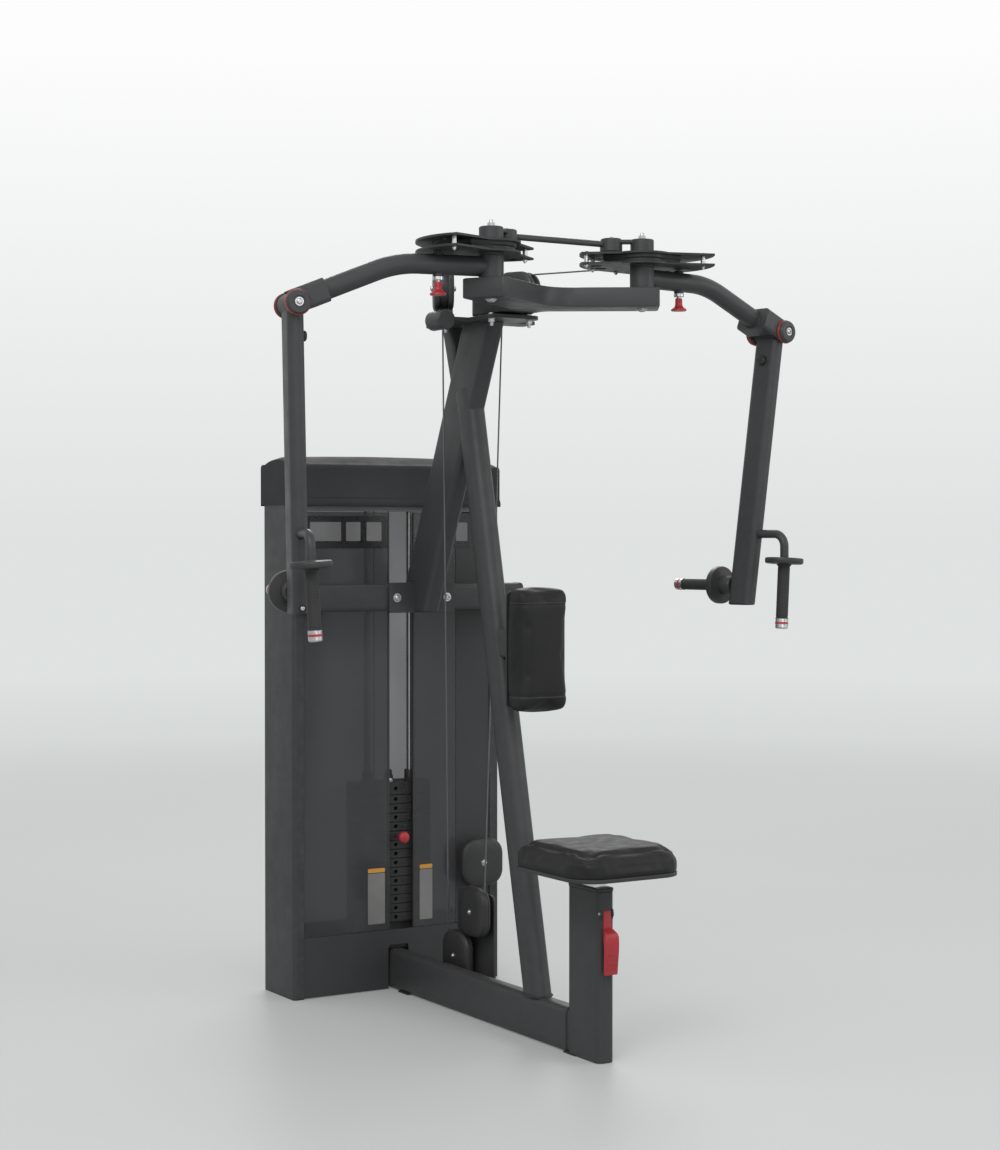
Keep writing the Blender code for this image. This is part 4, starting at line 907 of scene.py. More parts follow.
def stitches(name, path, body):
    """Row of short thread loops that lie along a path."""
    length = 0.0055
    gap = 0.0022
    radius = 0.0007
    path = [Vector(p) for p in path]
    runs = [(b - a).length for a, b in zip(path, path[1:])]
    total = sum(runs)

    def at(distance):
        for a, b, run in zip(path, path[1:], runs):
            if distance <= run:
                return a.lerp(b, distance / max(run, 1e-9))
            distance -= run
        return path[-1].copy()

    points = []
    faces = []
    place = 0.0
    while place + length < total:
        part, part_faces = swept(
            circle(radius, 6), [at(place), at(place + length / 2), at(place + length)], (0.12, 0.31, 0.94),
            (0.5, 1.0, 0.5)
        )
        faces += [[i + len(points) for i in face] for face in part_faces]
        points += part
        place += length + gap
    return piece(name, (points, faces), THREAD, body)


def nearest_on(obj, place, direction):
    """Point where a ray towards the piece meets its surface, or None."""
    direction = Vector(direction).normalized()
    hit, where, normal, _ = obj.ray_cast(Vector(place) - direction * 0.2, direction)
    return where + normal * 0.0004 if hit else None


def seat_outline(inset):
    """Plan of the seat: square rear corners, wide front corners and a slightly bowed front."""
    half = SEAT_HIGH.x - inset
    front = SEAT_LOW.y + inset
    rear = SEAT_HIGH.y - inset
    corner = 0.04
    points = arc((half - corner, rear - corner), corner, 0, 90, 6)
    points += arc((-half + corner, rear - corner), corner, 90, 180, 6)
    round_front = 0.078 - inset * 0.6
    points += arc((-half + round_front, front + round_front), round_front, 180, 262, 9)
    points += [(-0.045, front), (0.045, front)]
    points += arc((half - round_front, front + round_front), round_front, 278, 360, 9)
    return points


def make_seat():
    """Seat cushion, its board and the stem that slides in the post."""
    bottom = SEAT_LOW.z
    board_top = bottom + 0.01
    pad_top = SEAT_HIGH.z - 0.006
    board = raised(seat_outline(0.008), bottom, board_top)
    piece("seat_board", board, BLACK_PLASTIC, "seat", edge=0.002, slot="black_upholstery")
    centre = Vector((0, (SEAT_LOW.y + SEAT_HIGH.y) / 2, 0))
    rings = []
    for inset, z in (
        (0.01, board_top - 0.004), (0.007, board_top + 0.01), (0.007, pad_top - 0.026),
        (0.011, pad_top - 0.014), (0.034, pad_top - 0.004), (0.038, pad_top - 0.003)
    ):
        rings.append([Vector((x, y, z)) for x, y in seat_outline(inset)])
    pad = build("seat_cushion", strip(rings))
    simulate(pad, lambda co: co.z < board_top + 0.003, 0.0065)
    relaxed(pad, 3)
    flat = board_top - 0.004

    half_x = SEAT_HIGH.x - SEAM_INSET
    half_y = (SEAT_HIGH.y - SEAT_LOW.y) / 2 - SEAM_INSET
    top = pad_top - 0.012
    for vertex in pad.data.vertices:
        co = vertex.co
        if co.z > top:
            past_seam = (max(abs(co.x) / half_x, abs(co.y - centre.y) / half_y) - 1.0) * 0.13
            co.z -= 0.003 * math.exp(-((past_seam / 0.0042) ** 2))
        band = co.z - (pad_top - 0.022)
        if abs(band) < 0.02:
            inward = Vector((centre.x - co.x, centre.y - co.y, 0)).normalized()
            vertex.co += inward * 0.0022 * math.exp(-((band / 0.0035) ** 2))
        co.z = max(co.z, flat)
    subdivided(pad)
    dress(pad, VINYL, "seat", stands_for=("seat_pad",))
    loop = []
    for u, v in rounded_rectangle(2 * half_x + 0.006, 2 * half_y + 0.006, 0.02, 6):
        loop.append(nearest_on(pad, (u, v + centre.y, SEAT_HIGH.z), DOWN))
    loop = [point for point in loop if point]
    loop.append(loop[0])
    stitches("seat_panel_stitches", loop, "seat")
    carrier_low = 0.4635
    stem = level_slab((0.038, 0.104, 0.012, 8), (0, POST_Y), 0.075, 0.466)
    notches = []
    for step in range(7):
        z = LOCK_Z - SEAT_TRAVEL * step / 6
        notches.append(tube_between((0, POST_Y - 0.06, z), (0, POST_Y - 0.034, z), 0.008, 20))
    piece("seat_stem_tube", stem, CHROME, "seat", stands_for=("seat_stem",), edge=0.001, cutters=notches)
    plate = level_slab((0.17, 0.22, 0.02, 5), (0, POST_Y - 0.02), carrier_low, carrier_low + 0.006)
    piece("seat_carrier_plate", plate, DARK_PAINT, "seat", edge=0.001)
    for x in (-0.065, 0.065):
        for y in (-0.105, 0.065):
            screw((x, POST_Y + y, carrier_low), DOWN, 0.005, "seat")


def make_back_pad():
    """Back cushion, its board and the arm that holds it."""
    width = BACK_HIGH.x - BACK_LOW.x
    depth = BACK_HIGH.y - BACK_LOW.y
    middle = (BACK_HIGH.y + BACK_LOW.y) / 2
    seam_high = BACK_HIGH.z - 0.045
    seam_low = BACK_LOW.z + 0.045
    rings = []
    for shrink, z in (
        (0.03, BACK_LOW.z + 0.005), (0.016, BACK_LOW.z + 0.012), (0.009, BACK_LOW.z + 0.028),
        (0.008, BACK_LOW.z + 0.06), (0.008, BACK_HIGH.z - 0.06), (0.009, BACK_HIGH.z - 0.028),
        (0.016, BACK_HIGH.z - 0.012), (0.03, BACK_HIGH.z - 0.005)
    ):
        outline = rounded_rectangle(width - shrink, depth - shrink, 0.016, 5)
        rings.append([Vector((x, y + middle, z)) for x, y in outline])
    pad = build("back_cushion", strip(rings))
    back = BACK_HIGH.y - 0.007
    simulate(pad, lambda co: co.y > back, 0.006)
    relaxed(pad, 3)
    for vertex in pad.data.vertices:
        co = vertex.co
        inward = Vector((-co.x, middle - co.y, 0)).normalized()
        for z in (seam_high, seam_low):
            vertex.co += inward * 0.0022 * math.exp(-(((co.z - z) / 0.003) ** 2))
        co.y = min(co.y, BACK_HIGH.y)
    subdivided(pad)
    dress(pad, VINYL, stands_for=("back_pad",))
    for word, z in (("high", seam_high + 0.004), ("low", seam_low - 0.004)):
        line = [
            nearest_on(pad, (-width / 2 + 0.01 + (width - 0.02) * i / 24, middle, z), TO_REAR)
            for i in range(25)
        ]
        stitches(f"back_stitches_{word}", [point for point in line if point], "frame")
        line = [
            nearest_on(pad, (0, middle - depth / 2 + 0.01 + (depth - 0.024) * i / 12, z), TO_RIGHT)
            for i in range(13)
        ]
        stitches(f"back_side_stitches_{word}", [point for point in line if point], "frame")

    board = front_panel((width - 0.016, 0.3, 0.012, 4), (0, 1.012), BACK_HIGH.y + 0.0003, 0.006)
    piece("back_pad_board", board, DARK_PAINT, stands_for=("back_pad_mount",), edge=0.0012)
    arm = bar_along((0.04, 0.075, 0.008, 5), [(0, BACK_HIGH.y + 0.004, 1.0225), (0, -0.04, 1.0225)])
    piece("back_pad_arm", arm, PAINT, edge=0.001)
    rib = [(BACK_HIGH.y + 0.004, 0.93), (-0.105, 0.985), (-0.095, 1.06), (BACK_HIGH.y + 0.004, 1.132)]
    piece("back_pad_rib", lengthwise(rib, (-0.004, 0.004)), PAINT, edge=0.001)
    for x in (-0.05, 0.05):
        for z in (0.9, 1.125):
            screw((x, BACK_HIGH.y + 0.0063, z), TO_REAR, 0.006)


# ---------------------------------------------------------------- head

def fillet(corner, before, after, radius, steps=8):
    """Points that round a corner of a plan outline."""
    corner = Vector(corner)
    a = (Vector(before) - corner).normalized()
    b = (Vector(after) - corner).normalized()
    half = a.angle(b) / 2
    centre = corner + (a + b).normalized() * (radius / math.sin(half))
    start = corner + a * (radius / math.tan(half)) - centre
    end = corner + b * (radius / math.tan(half)) - centre
    swing = math.atan2(start.x * end.y - start.y * end.x, start.dot(end))
    points = []
    for i in range(steps + 1):
        c = math.cos(swing * i / steps)
        s = math.sin(swing * i / steps)
        points.append((centre.x + start.x * c - start.y * s, centre.y + start.x * s + start.y * c))
    return points


def yoke_outline(inset):
    """Plan of the yoke: a stem over the mast that splits into two straight horns, one under each pivot."""
    horn = Vector((0.834, -0.55)).normalized()
    across = Vector((-horn.y, horn.x))
    tip = Vector((PIVOT.x, PIVOT.y)) + horn * (0.044 - inset)
    front = tip - across * (0.06 - inset)
    rear = tip + across * (0.06 - inset)
    stem = 0.05 - inset
    back = YOKE_HIGH.y - inset
    crotch = front - horn * (front.x / horn.x)
    shoulder = rear - horn * ((rear.x - stem) / horn.x)
    half = fillet(crotch, (-front.x, front.y), front, 0.1, 16)[8:]
    half += fillet(front, crotch, rear, 0.009, 5) + fillet(rear, front, shoulder, 0.009, 5)
    half += fillet(shoulder, rear, (stem, back), 0.04, 8)
    half += fillet((stem, back), shoulder, (0.0, back), 0.03, 8)
    return half + [(-x, y) for x, y in half[::-1] if abs(x) > 1e-6]


def head_pulley_frame(side):
    """Centre, run of the rope towards the cam, and axis of a head pulley."""
    place = joint_at("head_pulley_spin_right")
    reach = Vector((PIVOT.x - place.x, PIVOT.y - place.y))
    turn = math.atan2(reach.y, reach.x) + math.asin(DRUM_RADIUS / reach.length)
    centre = Vector((side * place.x, place.y, place.z))
    run = Vector((side * math.cos(turn), math.sin(turn), 0))
    axis = Vector((side * math.sin(turn), -math.cos(turn), 0))
    return centre, run, axis


DRUM_RADIUS = 0.1
CABLE_Z = 2.015
CABLE_RADIUS = 0.0022
YOKE_LOW = 1.893
ARM_Z = 1.9725
PIN_REACH = 0.139
TIE_BOSS = (0.0686, 0.0412)
TIE_BOSS_RADIUS = 0.029
CAM_PLATES = (("lower", 2.0045, 2.0095), ("upper", 2.03, 2.0355))


def make_head():
    """Yoke, head plate, guarded head pulleys, pivots and tie bar."""
    low = YOKE_LOW
    high = YOKE_HIGH.z
    layers = (
        (0.0035, low), (0.001, low + 0.001), (0.0, low + 0.0035), (0.0, high - 0.0035),
        (0.001, high - 0.001), (0.0035, high)
    )
    rings = [[Vector((x, y, z)) for x, y in yoke_outline(inset)] for inset, z in layers]
    piece("yoke_body", strip(rings), PAINT, stands_for=("yoke",))
    boss = level_slab((0.08, 0.0945, 0.012, 5), (0, -0.0328), 1.8873, low + 0.004)
    piece("yoke_spacer", boss, PAINT, edge=0.001)
    seam = [
        Vector((x, y, 1.8876)) for x, y in shifted(rounded_rectangle(0.081, 0.0955, 0.012, 5), 0, -0.0328)
    ]
    weld("yoke_spacer_weld", seam, radius=0.0022)

    top = level_slab((0.15, 0.38, 0.03, 8), (0, 0.04), 1.877, 1.887)
    piece("head_plate_sheet", top, PAINT, stands_for=("head_plate",), edge=0.0012)
    mast_ring = [
        Vector((x, y + MAST_FOOT.y + MAST_LEAN * (1.876 - MAST_FOOT.z), 1.8762))
        for x, y in rounded_rectangle(0.052, 0.134, 0.016, 6)
    ]
    weld("mast_head_weld", mast_ring)
    for x in (-0.058, 0.058):
        for y in (-0.11, 0.13):
            screw((x, y, 1.887), UP, 0.008)
            nut((x, y, 1.877), DOWN, 0.0085, length=0.009, stud=0.01)
    knob = [
        (0.0, 0.0), (0.036, 0.0), (0.0375, 0.002), (0.0375, 0.012), (0.035, 0.016), (0.012, 0.018),
        (0.0, 0.018)
    ]
    lathe("stem_cover", knob, (0, -0.02, high), UP, 48, BLACK_PLASTIC, edge=0.0012)
    screw((0, -0.02, high + 0.018), UP, 0.008)
    roller = [
        (0.0, 0.0), (0.0235, 0.0005), (0.026, 0.0035), (0.026, 0.01), (0.0245, 0.011), (0.0245, 0.013),
        (0.026, 0.014), (0.026, 0.0725), (0.0235, 0.0755), (0.0, 0.076)
    ]
    lathe("head_roller", roller, (-0.146, -0.03, 1.878), TO_REAR, 56, PAINT)

    for side, word in SIDES:
        centre, run, axis = head_pulley_frame(side)
        wing_reach = 0.15 if side < 0 else 0.138
        wing = level_slab(
            (wing_reach - 0.06, 0.07, 0.01, 5), (side * (wing_reach + 0.06) / 2, 0.015), 1.8772, 1.8868
        )
        piece("head_wing_" + word, wing, PAINT, edge=0.0012)
        guard = 0.058
        for number, (start, end) in enumerate(((-0.027, -0.012), (0.027, 0.012))):
            out = 1 if start > 0 else -1
            rings = []
            for scale, height in (
                (0.985, end), (1.0, end + out * 0.0012), (1.0, start - out * 0.0065),
                (0.985, start - out * 0.004), (0.95, start - out * 0.0018), (0.86, start),
                (0.5, start + out * 0.0012), (0.2, start + out * 0.0016)
            ):
                outline = rounded_rectangle(2 * guard * scale, 2 * guard * scale, 0.04 * scale, 10)
                rings.append([centre + run * u + Vector((0, 0, v)) + axis * height for u, v in outline])
            piece(f"head_guard_{word}_{number}", strip(rings), BLACK_PLASTIC)
            foot = centre + axis * (start + end) / 2 + run * 0.006
            foot.z = 1.886
            stand = bar_along((0.01, 0.044, 0.002, 3), [foot, foot + Vector((0, 0, 0.04))], run)
            piece(f"head_guard_stand_{word}_{number}", stand, PAINT, edge=0.0008)
            screw(centre + axis * (start + out * 0.0016), axis * out, 0.0075)
        band = []
        for i in range(33):
            turn = math.radians(-112 + 158 * i / 32)
            band.append(centre + (run * math.cos(turn) + Vector((0, 0, math.sin(turn)))) * (guard - 0.0024))
        hoop = bar_along((0.003, 0.025, 0.001, 2), band, axis)
        piece("head_guard_band_" + word, hoop, BLACK_PLASTIC)
        rim = 0.0515
        groove = CABLE_Z - centre.z - CABLE_RADIUS - 0.0006
        profile = [
            (0.0083, -0.009), (rim - 0.001, -0.009), (rim, -0.008), (groove + 0.001, -0.0032),
            (groove, -0.002), (groove, 0.002), (groove + 0.001, 0.0032), (rim, 0.008), (rim - 0.001, 0.009),
            (0.0083, 0.009)
        ]
        lathe(
            "head_wheel_" + word, profile, centre, axis, 64, BLACK_PLASTIC, "head_wheel_" + word,
            stands_for=("head_pulley_" + word,)
        )

        x = side * PIVOT.x
        cap = [
            (0.0, 2.0368), (0.0325, 2.0368), (0.0325, 2.0402), (0.0305, 2.0412), (0.0305, 2.069),
            (0.0285, 2.0712), (0.02, 2.072), (0.0, 2.072)
        ]
        lathe("pivot_cap_" + word, cap, (x, PIVOT.y, 0), UP, 56, PAINT, stands_for=("pivot_shaft_" + word,))
        shaft = [(0.0, 1.889), (0.011, 1.889), (0.0125, 1.8905), (0.0125, 2.039), (0.0, 2.039)]
        lathe("pivot_core_" + word, shaft, (x, PIVOT.y, 0), UP, 48, ZINC)
        nut((x, PIVOT.y, 2.072), UP, 0.01, length=0.0095, stud=0.0075)
        screw((x, PIVOT.y, low), DOWN, 0.0105, height=0.006)
        boss_x = x - side * TIE_BOSS[0]
        boss_y = PIVOT.y + TIE_BOSS[1]
        lug = Vector((boss_x - x, boss_y - PIVOT.y, 0)).normalized()
        start = Vector((x, PIVOT.y, 2.0655)) + lug * 0.014
        arm = bar_along((0.034, 0.009, 0.002, 3), [start, (boss_x, boss_y, 2.0655)])
        piece("pivot_lug_" + word, arm, PAINT, edge=0.0008)
        rim = TIE_BOSS_RADIUS
        roller = [
            (0.0, 2.0395), (rim - 0.001, 2.0395), (rim, 2.0405), (rim, 2.06), (rim - 0.0015, 2.0612),
            (rim - 0.0015, 2.0712), (rim - 0.004, 2.0735), (0.0, 2.074)
        ]
        lathe("tie_boss_" + word, roller, (boss_x, boss_y, 0), UP, 48, PAINT)
        screw((boss_x, boss_y, 2.0738), UP, 0.0062, height=0.004)
    reach = PIVOT.x - TIE_BOSS[0] - TIE_BOSS_RADIUS
    bar_y = PIVOT.y + TIE_BOSS[1]
    piece(
        "tie_rod", tube_between((-reach, bar_y, 2.058), (reach, bar_y, 2.058), 0.008, 28), PAINT,
        stands_for=("tie_bar",)
    )


def cam_outline(side):
    """Plan of a cam plate: a pin sector on the arm's side, a cable lobe behind, a plain hub side."""
    outward = math.degrees(ARM_ANGLE)
    points = []
    for radius, start, end, steps in ((0.188, -44, 54, 20), (0.162, 104, 152, 14), (0.074, 180, 290, 22)):
        points += arc((0, 0), radius, outward + start, outward + end, steps)
    return [(side * (PIVOT.x + x), PIVOT.y + y) for x, y in points]


def drum_outline(side, radius):
    """Plan of the cable groove: its full radius only where the cable lies."""
    points = arc((0, 0), radius, -30, 150, 64)
    points += arc((0, 0), radius - 0.038, 185, 300, 24)
    return [(side * (PIVOT.x + x), PIVOT.y + y) for x, y in points]


def make_cam(side, word):
    """Cam wheel: two plates with pin holes, the rope's drum and the hub."""
    body = "cam_wheel_" + word
    x = side * PIVOT.x
    holes = []
    for step in range(-1, 5):
        place = polar(side, ARM_ANGLE + math.radians(15 * step), PIN_REACH, 0)
        holes.append(tube_between((place.x, place.y, 1.99), (place.x, place.y, 2.04), 0.0072, 24))
    slots = []
    for turn in (118, 146):
        place = polar(side, math.radians(turn), 0.12, 0)
        slots.append(tube_between((place.x, place.y, 1.99), (place.x, place.y, 2.04), 0.016, 28))
    for level, low, high in CAM_PLATES:
        stands = ("cam_" + word,) if level == "lower" else ()
        sheet = raised(cam_outline(side), low, high)
        piece(
            f"cam_plate_{level}_{word}", sheet, DARK_PAINT, body, stands_for=stands, edge=0.0007,
            cutters=holes + slots
        )
    groove = DRUM_RADIUS - CABLE_RADIUS - 0.0003
    layers = (
        (groove + 0.0033, 2.009), (groove, 2.0122), (groove, 2.0178), (groove + 0.0033, 2.0212),
        (groove + 0.0033, 2.0305)
    )
    rings = [[Vector((u, v, z)) for u, v in drum_outline(side, radius)] for radius, z in layers]
    piece("cam_drum_" + word, strip(rings), DARK_PAINT, body)
    hub = [
        (0.0128, 1.9998), (0.0305, 1.9998), (0.0315, 2.0008), (0.0315, 2.035), (0.03, 2.0365),
        (0.0128, 2.0365)
    ]
    lathe("cam_hub_" + word, hub, (x, PIVOT.y, 0), UP, 64, PAINT, body)
    for number, turn in enumerate((-36, 72, 106, 146)):
        place = polar(side, ARM_ANGLE + math.radians(turn), 0.16 if turn < 0 else 0.146, 0)
        spacer = [(0.0, 2.009), (0.006, 2.009), (0.006, 2.0305), (0.0, 2.0305)]
        lathe(f"cam_spacer_{word}_{number}", spacer, (place.x, place.y, 0), UP, 28, ZINC, body)
        screw((place.x, place.y, 2.0355), UP, 0.006, body, height=0.0035)
        nut((place.x, place.y, 2.0045), DOWN, 0.0058, body, length=0.005, stud=0.003)


# ---------------------------------------------------------------- arms

def make_arm(side, word):
    """Upper arm with its hub, start pin and elbow fork."""
    body = "upper_arm_" + word
    x = side * PIVOT.x
    along, across = arm_frame(side)
    elbow = polar(side, ARM_ANGLE, ELBOW_REACH, ELBOW.z)
    bend = 0.245
    drop = (ELBOW.z + 0.004 - ARM_Z) / (ELBOW_REACH - bend)
    path = [polar(side, ARM_ANGLE, 0.02, ARM_Z), polar(side, ARM_ANGLE, bend - 0.055, ARM_Z)]
    for i in range(1, 12):
        t = i / 12
        path.append(polar(side, ARM_ANGLE, bend - 0.055 + 0.11 * t, ARM_Z + drop * 0.055 * t * t))
    path.append(polar(side, ARM_ANGLE, bend + 0.055, ARM_Z + drop * 0.055))
    path.append(polar(side, ARM_ANGLE, ELBOW_REACH - 0.05, ELBOW.z + 0.004 - drop * 0.05))
    piece("arm_tube_" + word, swept(circle(0.025, 48), path), PAINT, body, stands_for=("arm_" + word,))
    hub = [
        (0.0128, 1.9433), (0.0305, 1.9433), (0.0315, 1.9445), (0.0315, 1.9983), (0.0305, 1.9995),
        (0.0128, 1.9995)
    ]
    lathe("arm_hub_" + word, hub, (x, PIVOT.y, 0), UP, 64, PAINT, body)
    pin = polar(side, ARM_ANGLE, PIN_REACH, 0)
    sleeve = [
        (0.0066, 1.934), (0.0118, 1.934), (0.0125, 1.9347), (0.0125, 2.001), (0.0118, 2.0015),
        (0.0066, 2.0015)
    ]
    lathe("pin_sleeve_" + word, sleeve, (pin.x, pin.y, 0), UP, 40, DARK_PAINT, body)
    collar = [
        (0.007, 1.9338), (0.0105, 1.9338), (0.0112, 1.9345), (0.0112, 1.942), (0.0105, 1.9428),
        (0.007, 1.9428)
    ]
    lathe("pin_collar_" + word, [(r + 0.0022, z) for r, z in collar], (pin.x, pin.y, 0), UP, 40, ZINC, body)

    tilt = Vector((along.x, along.y, drop)).normalized()
    rise = Vector((-tilt.z * along.x, -tilt.z * along.y, along.dot(tilt)))
    end = path[-1] + tilt * 0.002
    fork = build(
        "elbow_fork_" + word, bar_along((0.101, 0.06, 0.012, 6), [end - tilt * 0.028, end + tilt * 0.05])
    )
    start = elbow - tilt * 0.038 - rise * 0.042
    cut(fork, bar_along((0.087, 0.14, 0.004, 3), [start, start + tilt * 0.12]))
    softened(fork, 0.0012)
    dress(fork, PAINT, body)
    seam = []
    for u, v in circle(0.0255, 32):
        seam.append(end - tilt * 0.0285 + across * u + rise * v)
    weld("fork_weld_" + word, seam, body, radius=0.0026)

    stands = ("elbow_axle_" + word,)
    core = tube_between(elbow - across * 0.056, elbow + across * 0.056, 0.007, 28)
    piece("elbow_core_" + word, core, ZINC, body, stands_for=stands)
    for sign, end_word in ((-1, "near"), (1, "far")):
        outward = across * sign
        cheek = [
            (0.0, 0.0437), (0.0292, 0.0437), (0.03, 0.0445), (0.03, 0.0497), (0.0292, 0.0504), (0.0, 0.0504)
        ]
        lathe(f"elbow_cheek_{end_word}_{word}", cheek, elbow, outward, 56, PAINT, body)
        cap = [
            (0.0, 0.0506), (0.0285, 0.0506), (0.03, 0.0512), (0.03, 0.059), (0.0288, 0.063),
            (0.0255, 0.0665), (0.015, 0.0672), (0.014, 0.0655), (0.0, 0.0655)
        ]
        lathe(f"elbow_cap_{end_word}_{word}", cap, elbow, outward, 56, PAINT, body)
        ring = [
            (0.029, 0.05), (0.0312, 0.0502), (0.0318, 0.051), (0.0318, 0.0545), (0.0312, 0.0553),
            (0.029, 0.0555)
        ]
        lathe(f"elbow_ring_{end_word}_{word}", ring, elbow, outward, 56, RED_PLASTIC, body)
        screw(elbow + outward * 0.0655, outward, 0.0075, body)

    knob = [
        (0.0, 1.897), (0.0192, 1.897), (0.0204, 1.898), (0.0204, 1.9005), (0.019, 1.9026), (0.0125, 1.907),
        (0.01, 1.912), (0.0092, 1.918), (0.0098, 1.92), (0.009, 1.922), (0.0098, 1.9242), (0.009, 1.9262),
        (0.0094, 1.929), (0.008, 1.93), (0.0, 1.93)
    ]
    pin_body = "start_pin_" + word
    lathe(
        "pin_knob_" + word, knob, (pin.x, pin.y, 0), UP, 48, RED_PLASTIC, pin_body,
        stands_for=("pull_pin_" + word,)
    )
    shank = [(0.0, 1.929), (0.0058, 1.929), (0.0058, 2.002), (0.0046, 2.0034), (0.0, 2.0035)]
    lathe("pin_shank_" + word, shank, (pin.x, pin.y, 0), UP, 32, ZINC, pin_body)


ARM_FOOT_Z = 1.112


def lower_arm_point(side, z):
    """Point on the middle of a hanging arm."""
    along, across = arm_frame(side)
    elbow = polar(side, ARM_ANGLE, ELBOW_REACH, ELBOW.z)
    fall = (ELBOW.z - z) / (ELBOW.z - ARM_FOOT_Z)
    return elbow - along * 0.034 * fall + across * 0.074 * fall + Vector((0, 0, z - ELBOW.z))


def grip(name, base, run, length, radius, disc, body, node):
    """Rubber handle: guard disc, ribbed sleeve, and a bright end cap with a red band."""
    guard, thick = disc
    profile = [
        (0.01, 0.0), (guard - 0.004, 0.0), (guard - 0.0008, 0.0012), (guard, 0.004), (guard, thick - 0.005),
        (guard - 0.0015, thick - 0.0015), (guard - 0.006, thick), (0.024, thick + 0.001),
        (0.01, thick + 0.001)
    ]
    lathe(
        name + "_guard", profile, base, run, 72, BLACK_PLASTIC, body, stands_for=(node,),
        slot="black_rubber"
    )
    start = thick - 0.001
    end = length - 0.026
    profile = [
        (0.01, start), (radius + 0.004, start), (radius + 0.004, start + 0.004), (radius, start + 0.008)
    ]
    ribs = int((end - start - 0.02) / 0.0052)
    for i in range(ribs):
        at = start + 0.012 + i * 0.0052
        profile += [
            (radius, at), (radius + 0.0006, at + 0.0012), (radius + 0.0006, at + 0.0028),
            (radius, at + 0.004)
        ]
    profile += [(radius, end - 0.004), (radius + 0.0012, end - 0.003), (radius + 0.0012, end), (0.01, end)]
    lathe(name + "_sleeve", profile, base, run, 56, GRIP_RUBBER, body)
    cap = radius + 0.0014
    profile = [(0.0, end - 0.001), (cap, end - 0.001), (cap, end + 0.0085), (0.0, end + 0.0085)]
    lathe(name + "_ferrule", profile, base, run, 56, ZINC, body, edge=0.0006)
    profile = [
        (0.0, end + 0.008), (cap + 0.0003, end + 0.008), (cap + 0.0003, end + 0.014), (0.0, end + 0.014)
    ]
    lathe(name + "_band", profile, base, run, 56, RED_PLASTIC, body, edge=0.0006)
    profile = [
        (0.0, end + 0.0135), (cap, end + 0.0135), (cap, length - 0.003), (cap - 0.0025, length),
        (cap - 0.006, length + 0.0006), (0.0, length + 0.0008)
    ]
    lathe(name + "_end_cap", profile, base, run, 56, ZINC, body)


def make_lower_arm(side, word):
    """Hanging arm with its upright and level grips."""
    body = "hanging_arm_" + word
    along, across = arm_frame(side)
    elbow = polar(side, ARM_ANGLE, ELBOW_REACH, ELBOW.z)
    outline = rounded_rectangle(0.078, 0.042, 0.018, 8)
    tube = build(
        "lower_arm_tube_" + word,
        swept(outline, [lower_arm_point(side, ELBOW.z - 0.012), lower_arm_point(side, ARM_FOOT_Z)], along)
    )
    cut(tube, raised(rounded_rectangle(4, 4, 0.1, 1), 0.8, 1.1225))
    dress(tube, PAINT, body, stands_for=("lower_arm_" + word,))
    foot = lower_arm_point(side, 1.1195)
    cap = bar_along(
        (0.0785, 0.0425, 0.018, 8),
        [foot + Vector((0, 0, 0.004)), foot - Vector((0, 0, 0.0005)), foot - Vector((0, 0, 0.003))], along,
        (1.0, 1.0, 0.9)
    )
    piece("lower_arm_plug_" + word, cap, BLACK_PLASTIC, body, edge=0.001)
    barrel = [
        (0.0074, -0.0405), (0.0265, -0.0405), (0.0275, -0.0395), (0.0275, 0.0395), (0.0265, 0.0405),
        (0.0074, 0.0405)
    ]
    lathe("elbow_barrel_" + word, barrel, elbow, across, 64, BLACK_PLASTIC, body, slot="charcoal_paint")
    bumper = lower_arm_point(side, ELBOW.z - 0.075)
    knob = [(0.0, 0.018), (0.013, 0.018), (0.0136, 0.021), (0.013, 0.03), (0.0105, 0.0326), (0.0, 0.033)]
    lathe("elbow_bumper_" + word, knob, bumper, -along, 40, GRIP_RUBBER, body)

    if side < 0:
        foot = lower_arm_point(side, 1.131)
        pad = [
            (0.0, 0.037), (0.0098, 0.037), (0.0104, 0.038), (0.0104, 0.0405), (0.0096, 0.0412),
            (0.0, 0.0412)
        ]
        lathe("lower_arm_washer", pad, foot, -across, 36, GRIP_RUBBER, body)
        screw(foot - across * 0.0411, -across, 0.0056, body, washer=False)

    start = lower_arm_point(side, 1.312)
    turn = start - across * 0.092
    path = [start - across * 0.02, turn]
    for i in range(1, 13):
        angle = math.radians(90 * i / 12)
        path.append(turn - across * 0.034 * math.sin(angle) - Vector((0, 0, 0.034 * (1 - math.cos(angle)))))
    path.append(path[-1] - Vector((0, 0, 0.03)))
    down = path[-1]
    piece("handle_bracket_" + word, swept(circle(0.0115, 32), path, along), PAINT, body)
    seam = [start - across * 0.0395 + along * u + Vector((0, 0, v)) for u, v in circle(0.012, 24)]
    weld("bracket_weld_" + word, seam, body, radius=0.0022)
    core_end = down + along * -0.012 + Vector((0, 0, 1.052 - down.z))
    run = (core_end - down).normalized()
    base = down + Vector((0, 0, 1.248 - down.z)) + run * 0.001
    grip("upright_grip_" + word, base, run, 0.192, 0.016, (0.052, 0.0165), body, "vertical_grip_" + word)

    stub = lower_arm_point(side, 1.17)
    piece(
        "grip_stub_" + word, tube_between(stub + across * 0.02, stub + across * 0.09, 0.0098, 28), PAINT,
        body
    )
    grip(
        "level_grip_" + word, stub + across * 0.076, across, 0.174, 0.0148, (0.052, 0.0215), body,
        "horizontal_grip_" + word
    )
    backing = [(0.0, 0.037), (0.022, 0.037), (0.026, 0.044), (0.026, 0.072), (0.05, 0.0765), (0.0, 0.0775)]
    lathe("grip_backing_" + word, backing, stub, across, 56, BLACK_PLASTIC, body)


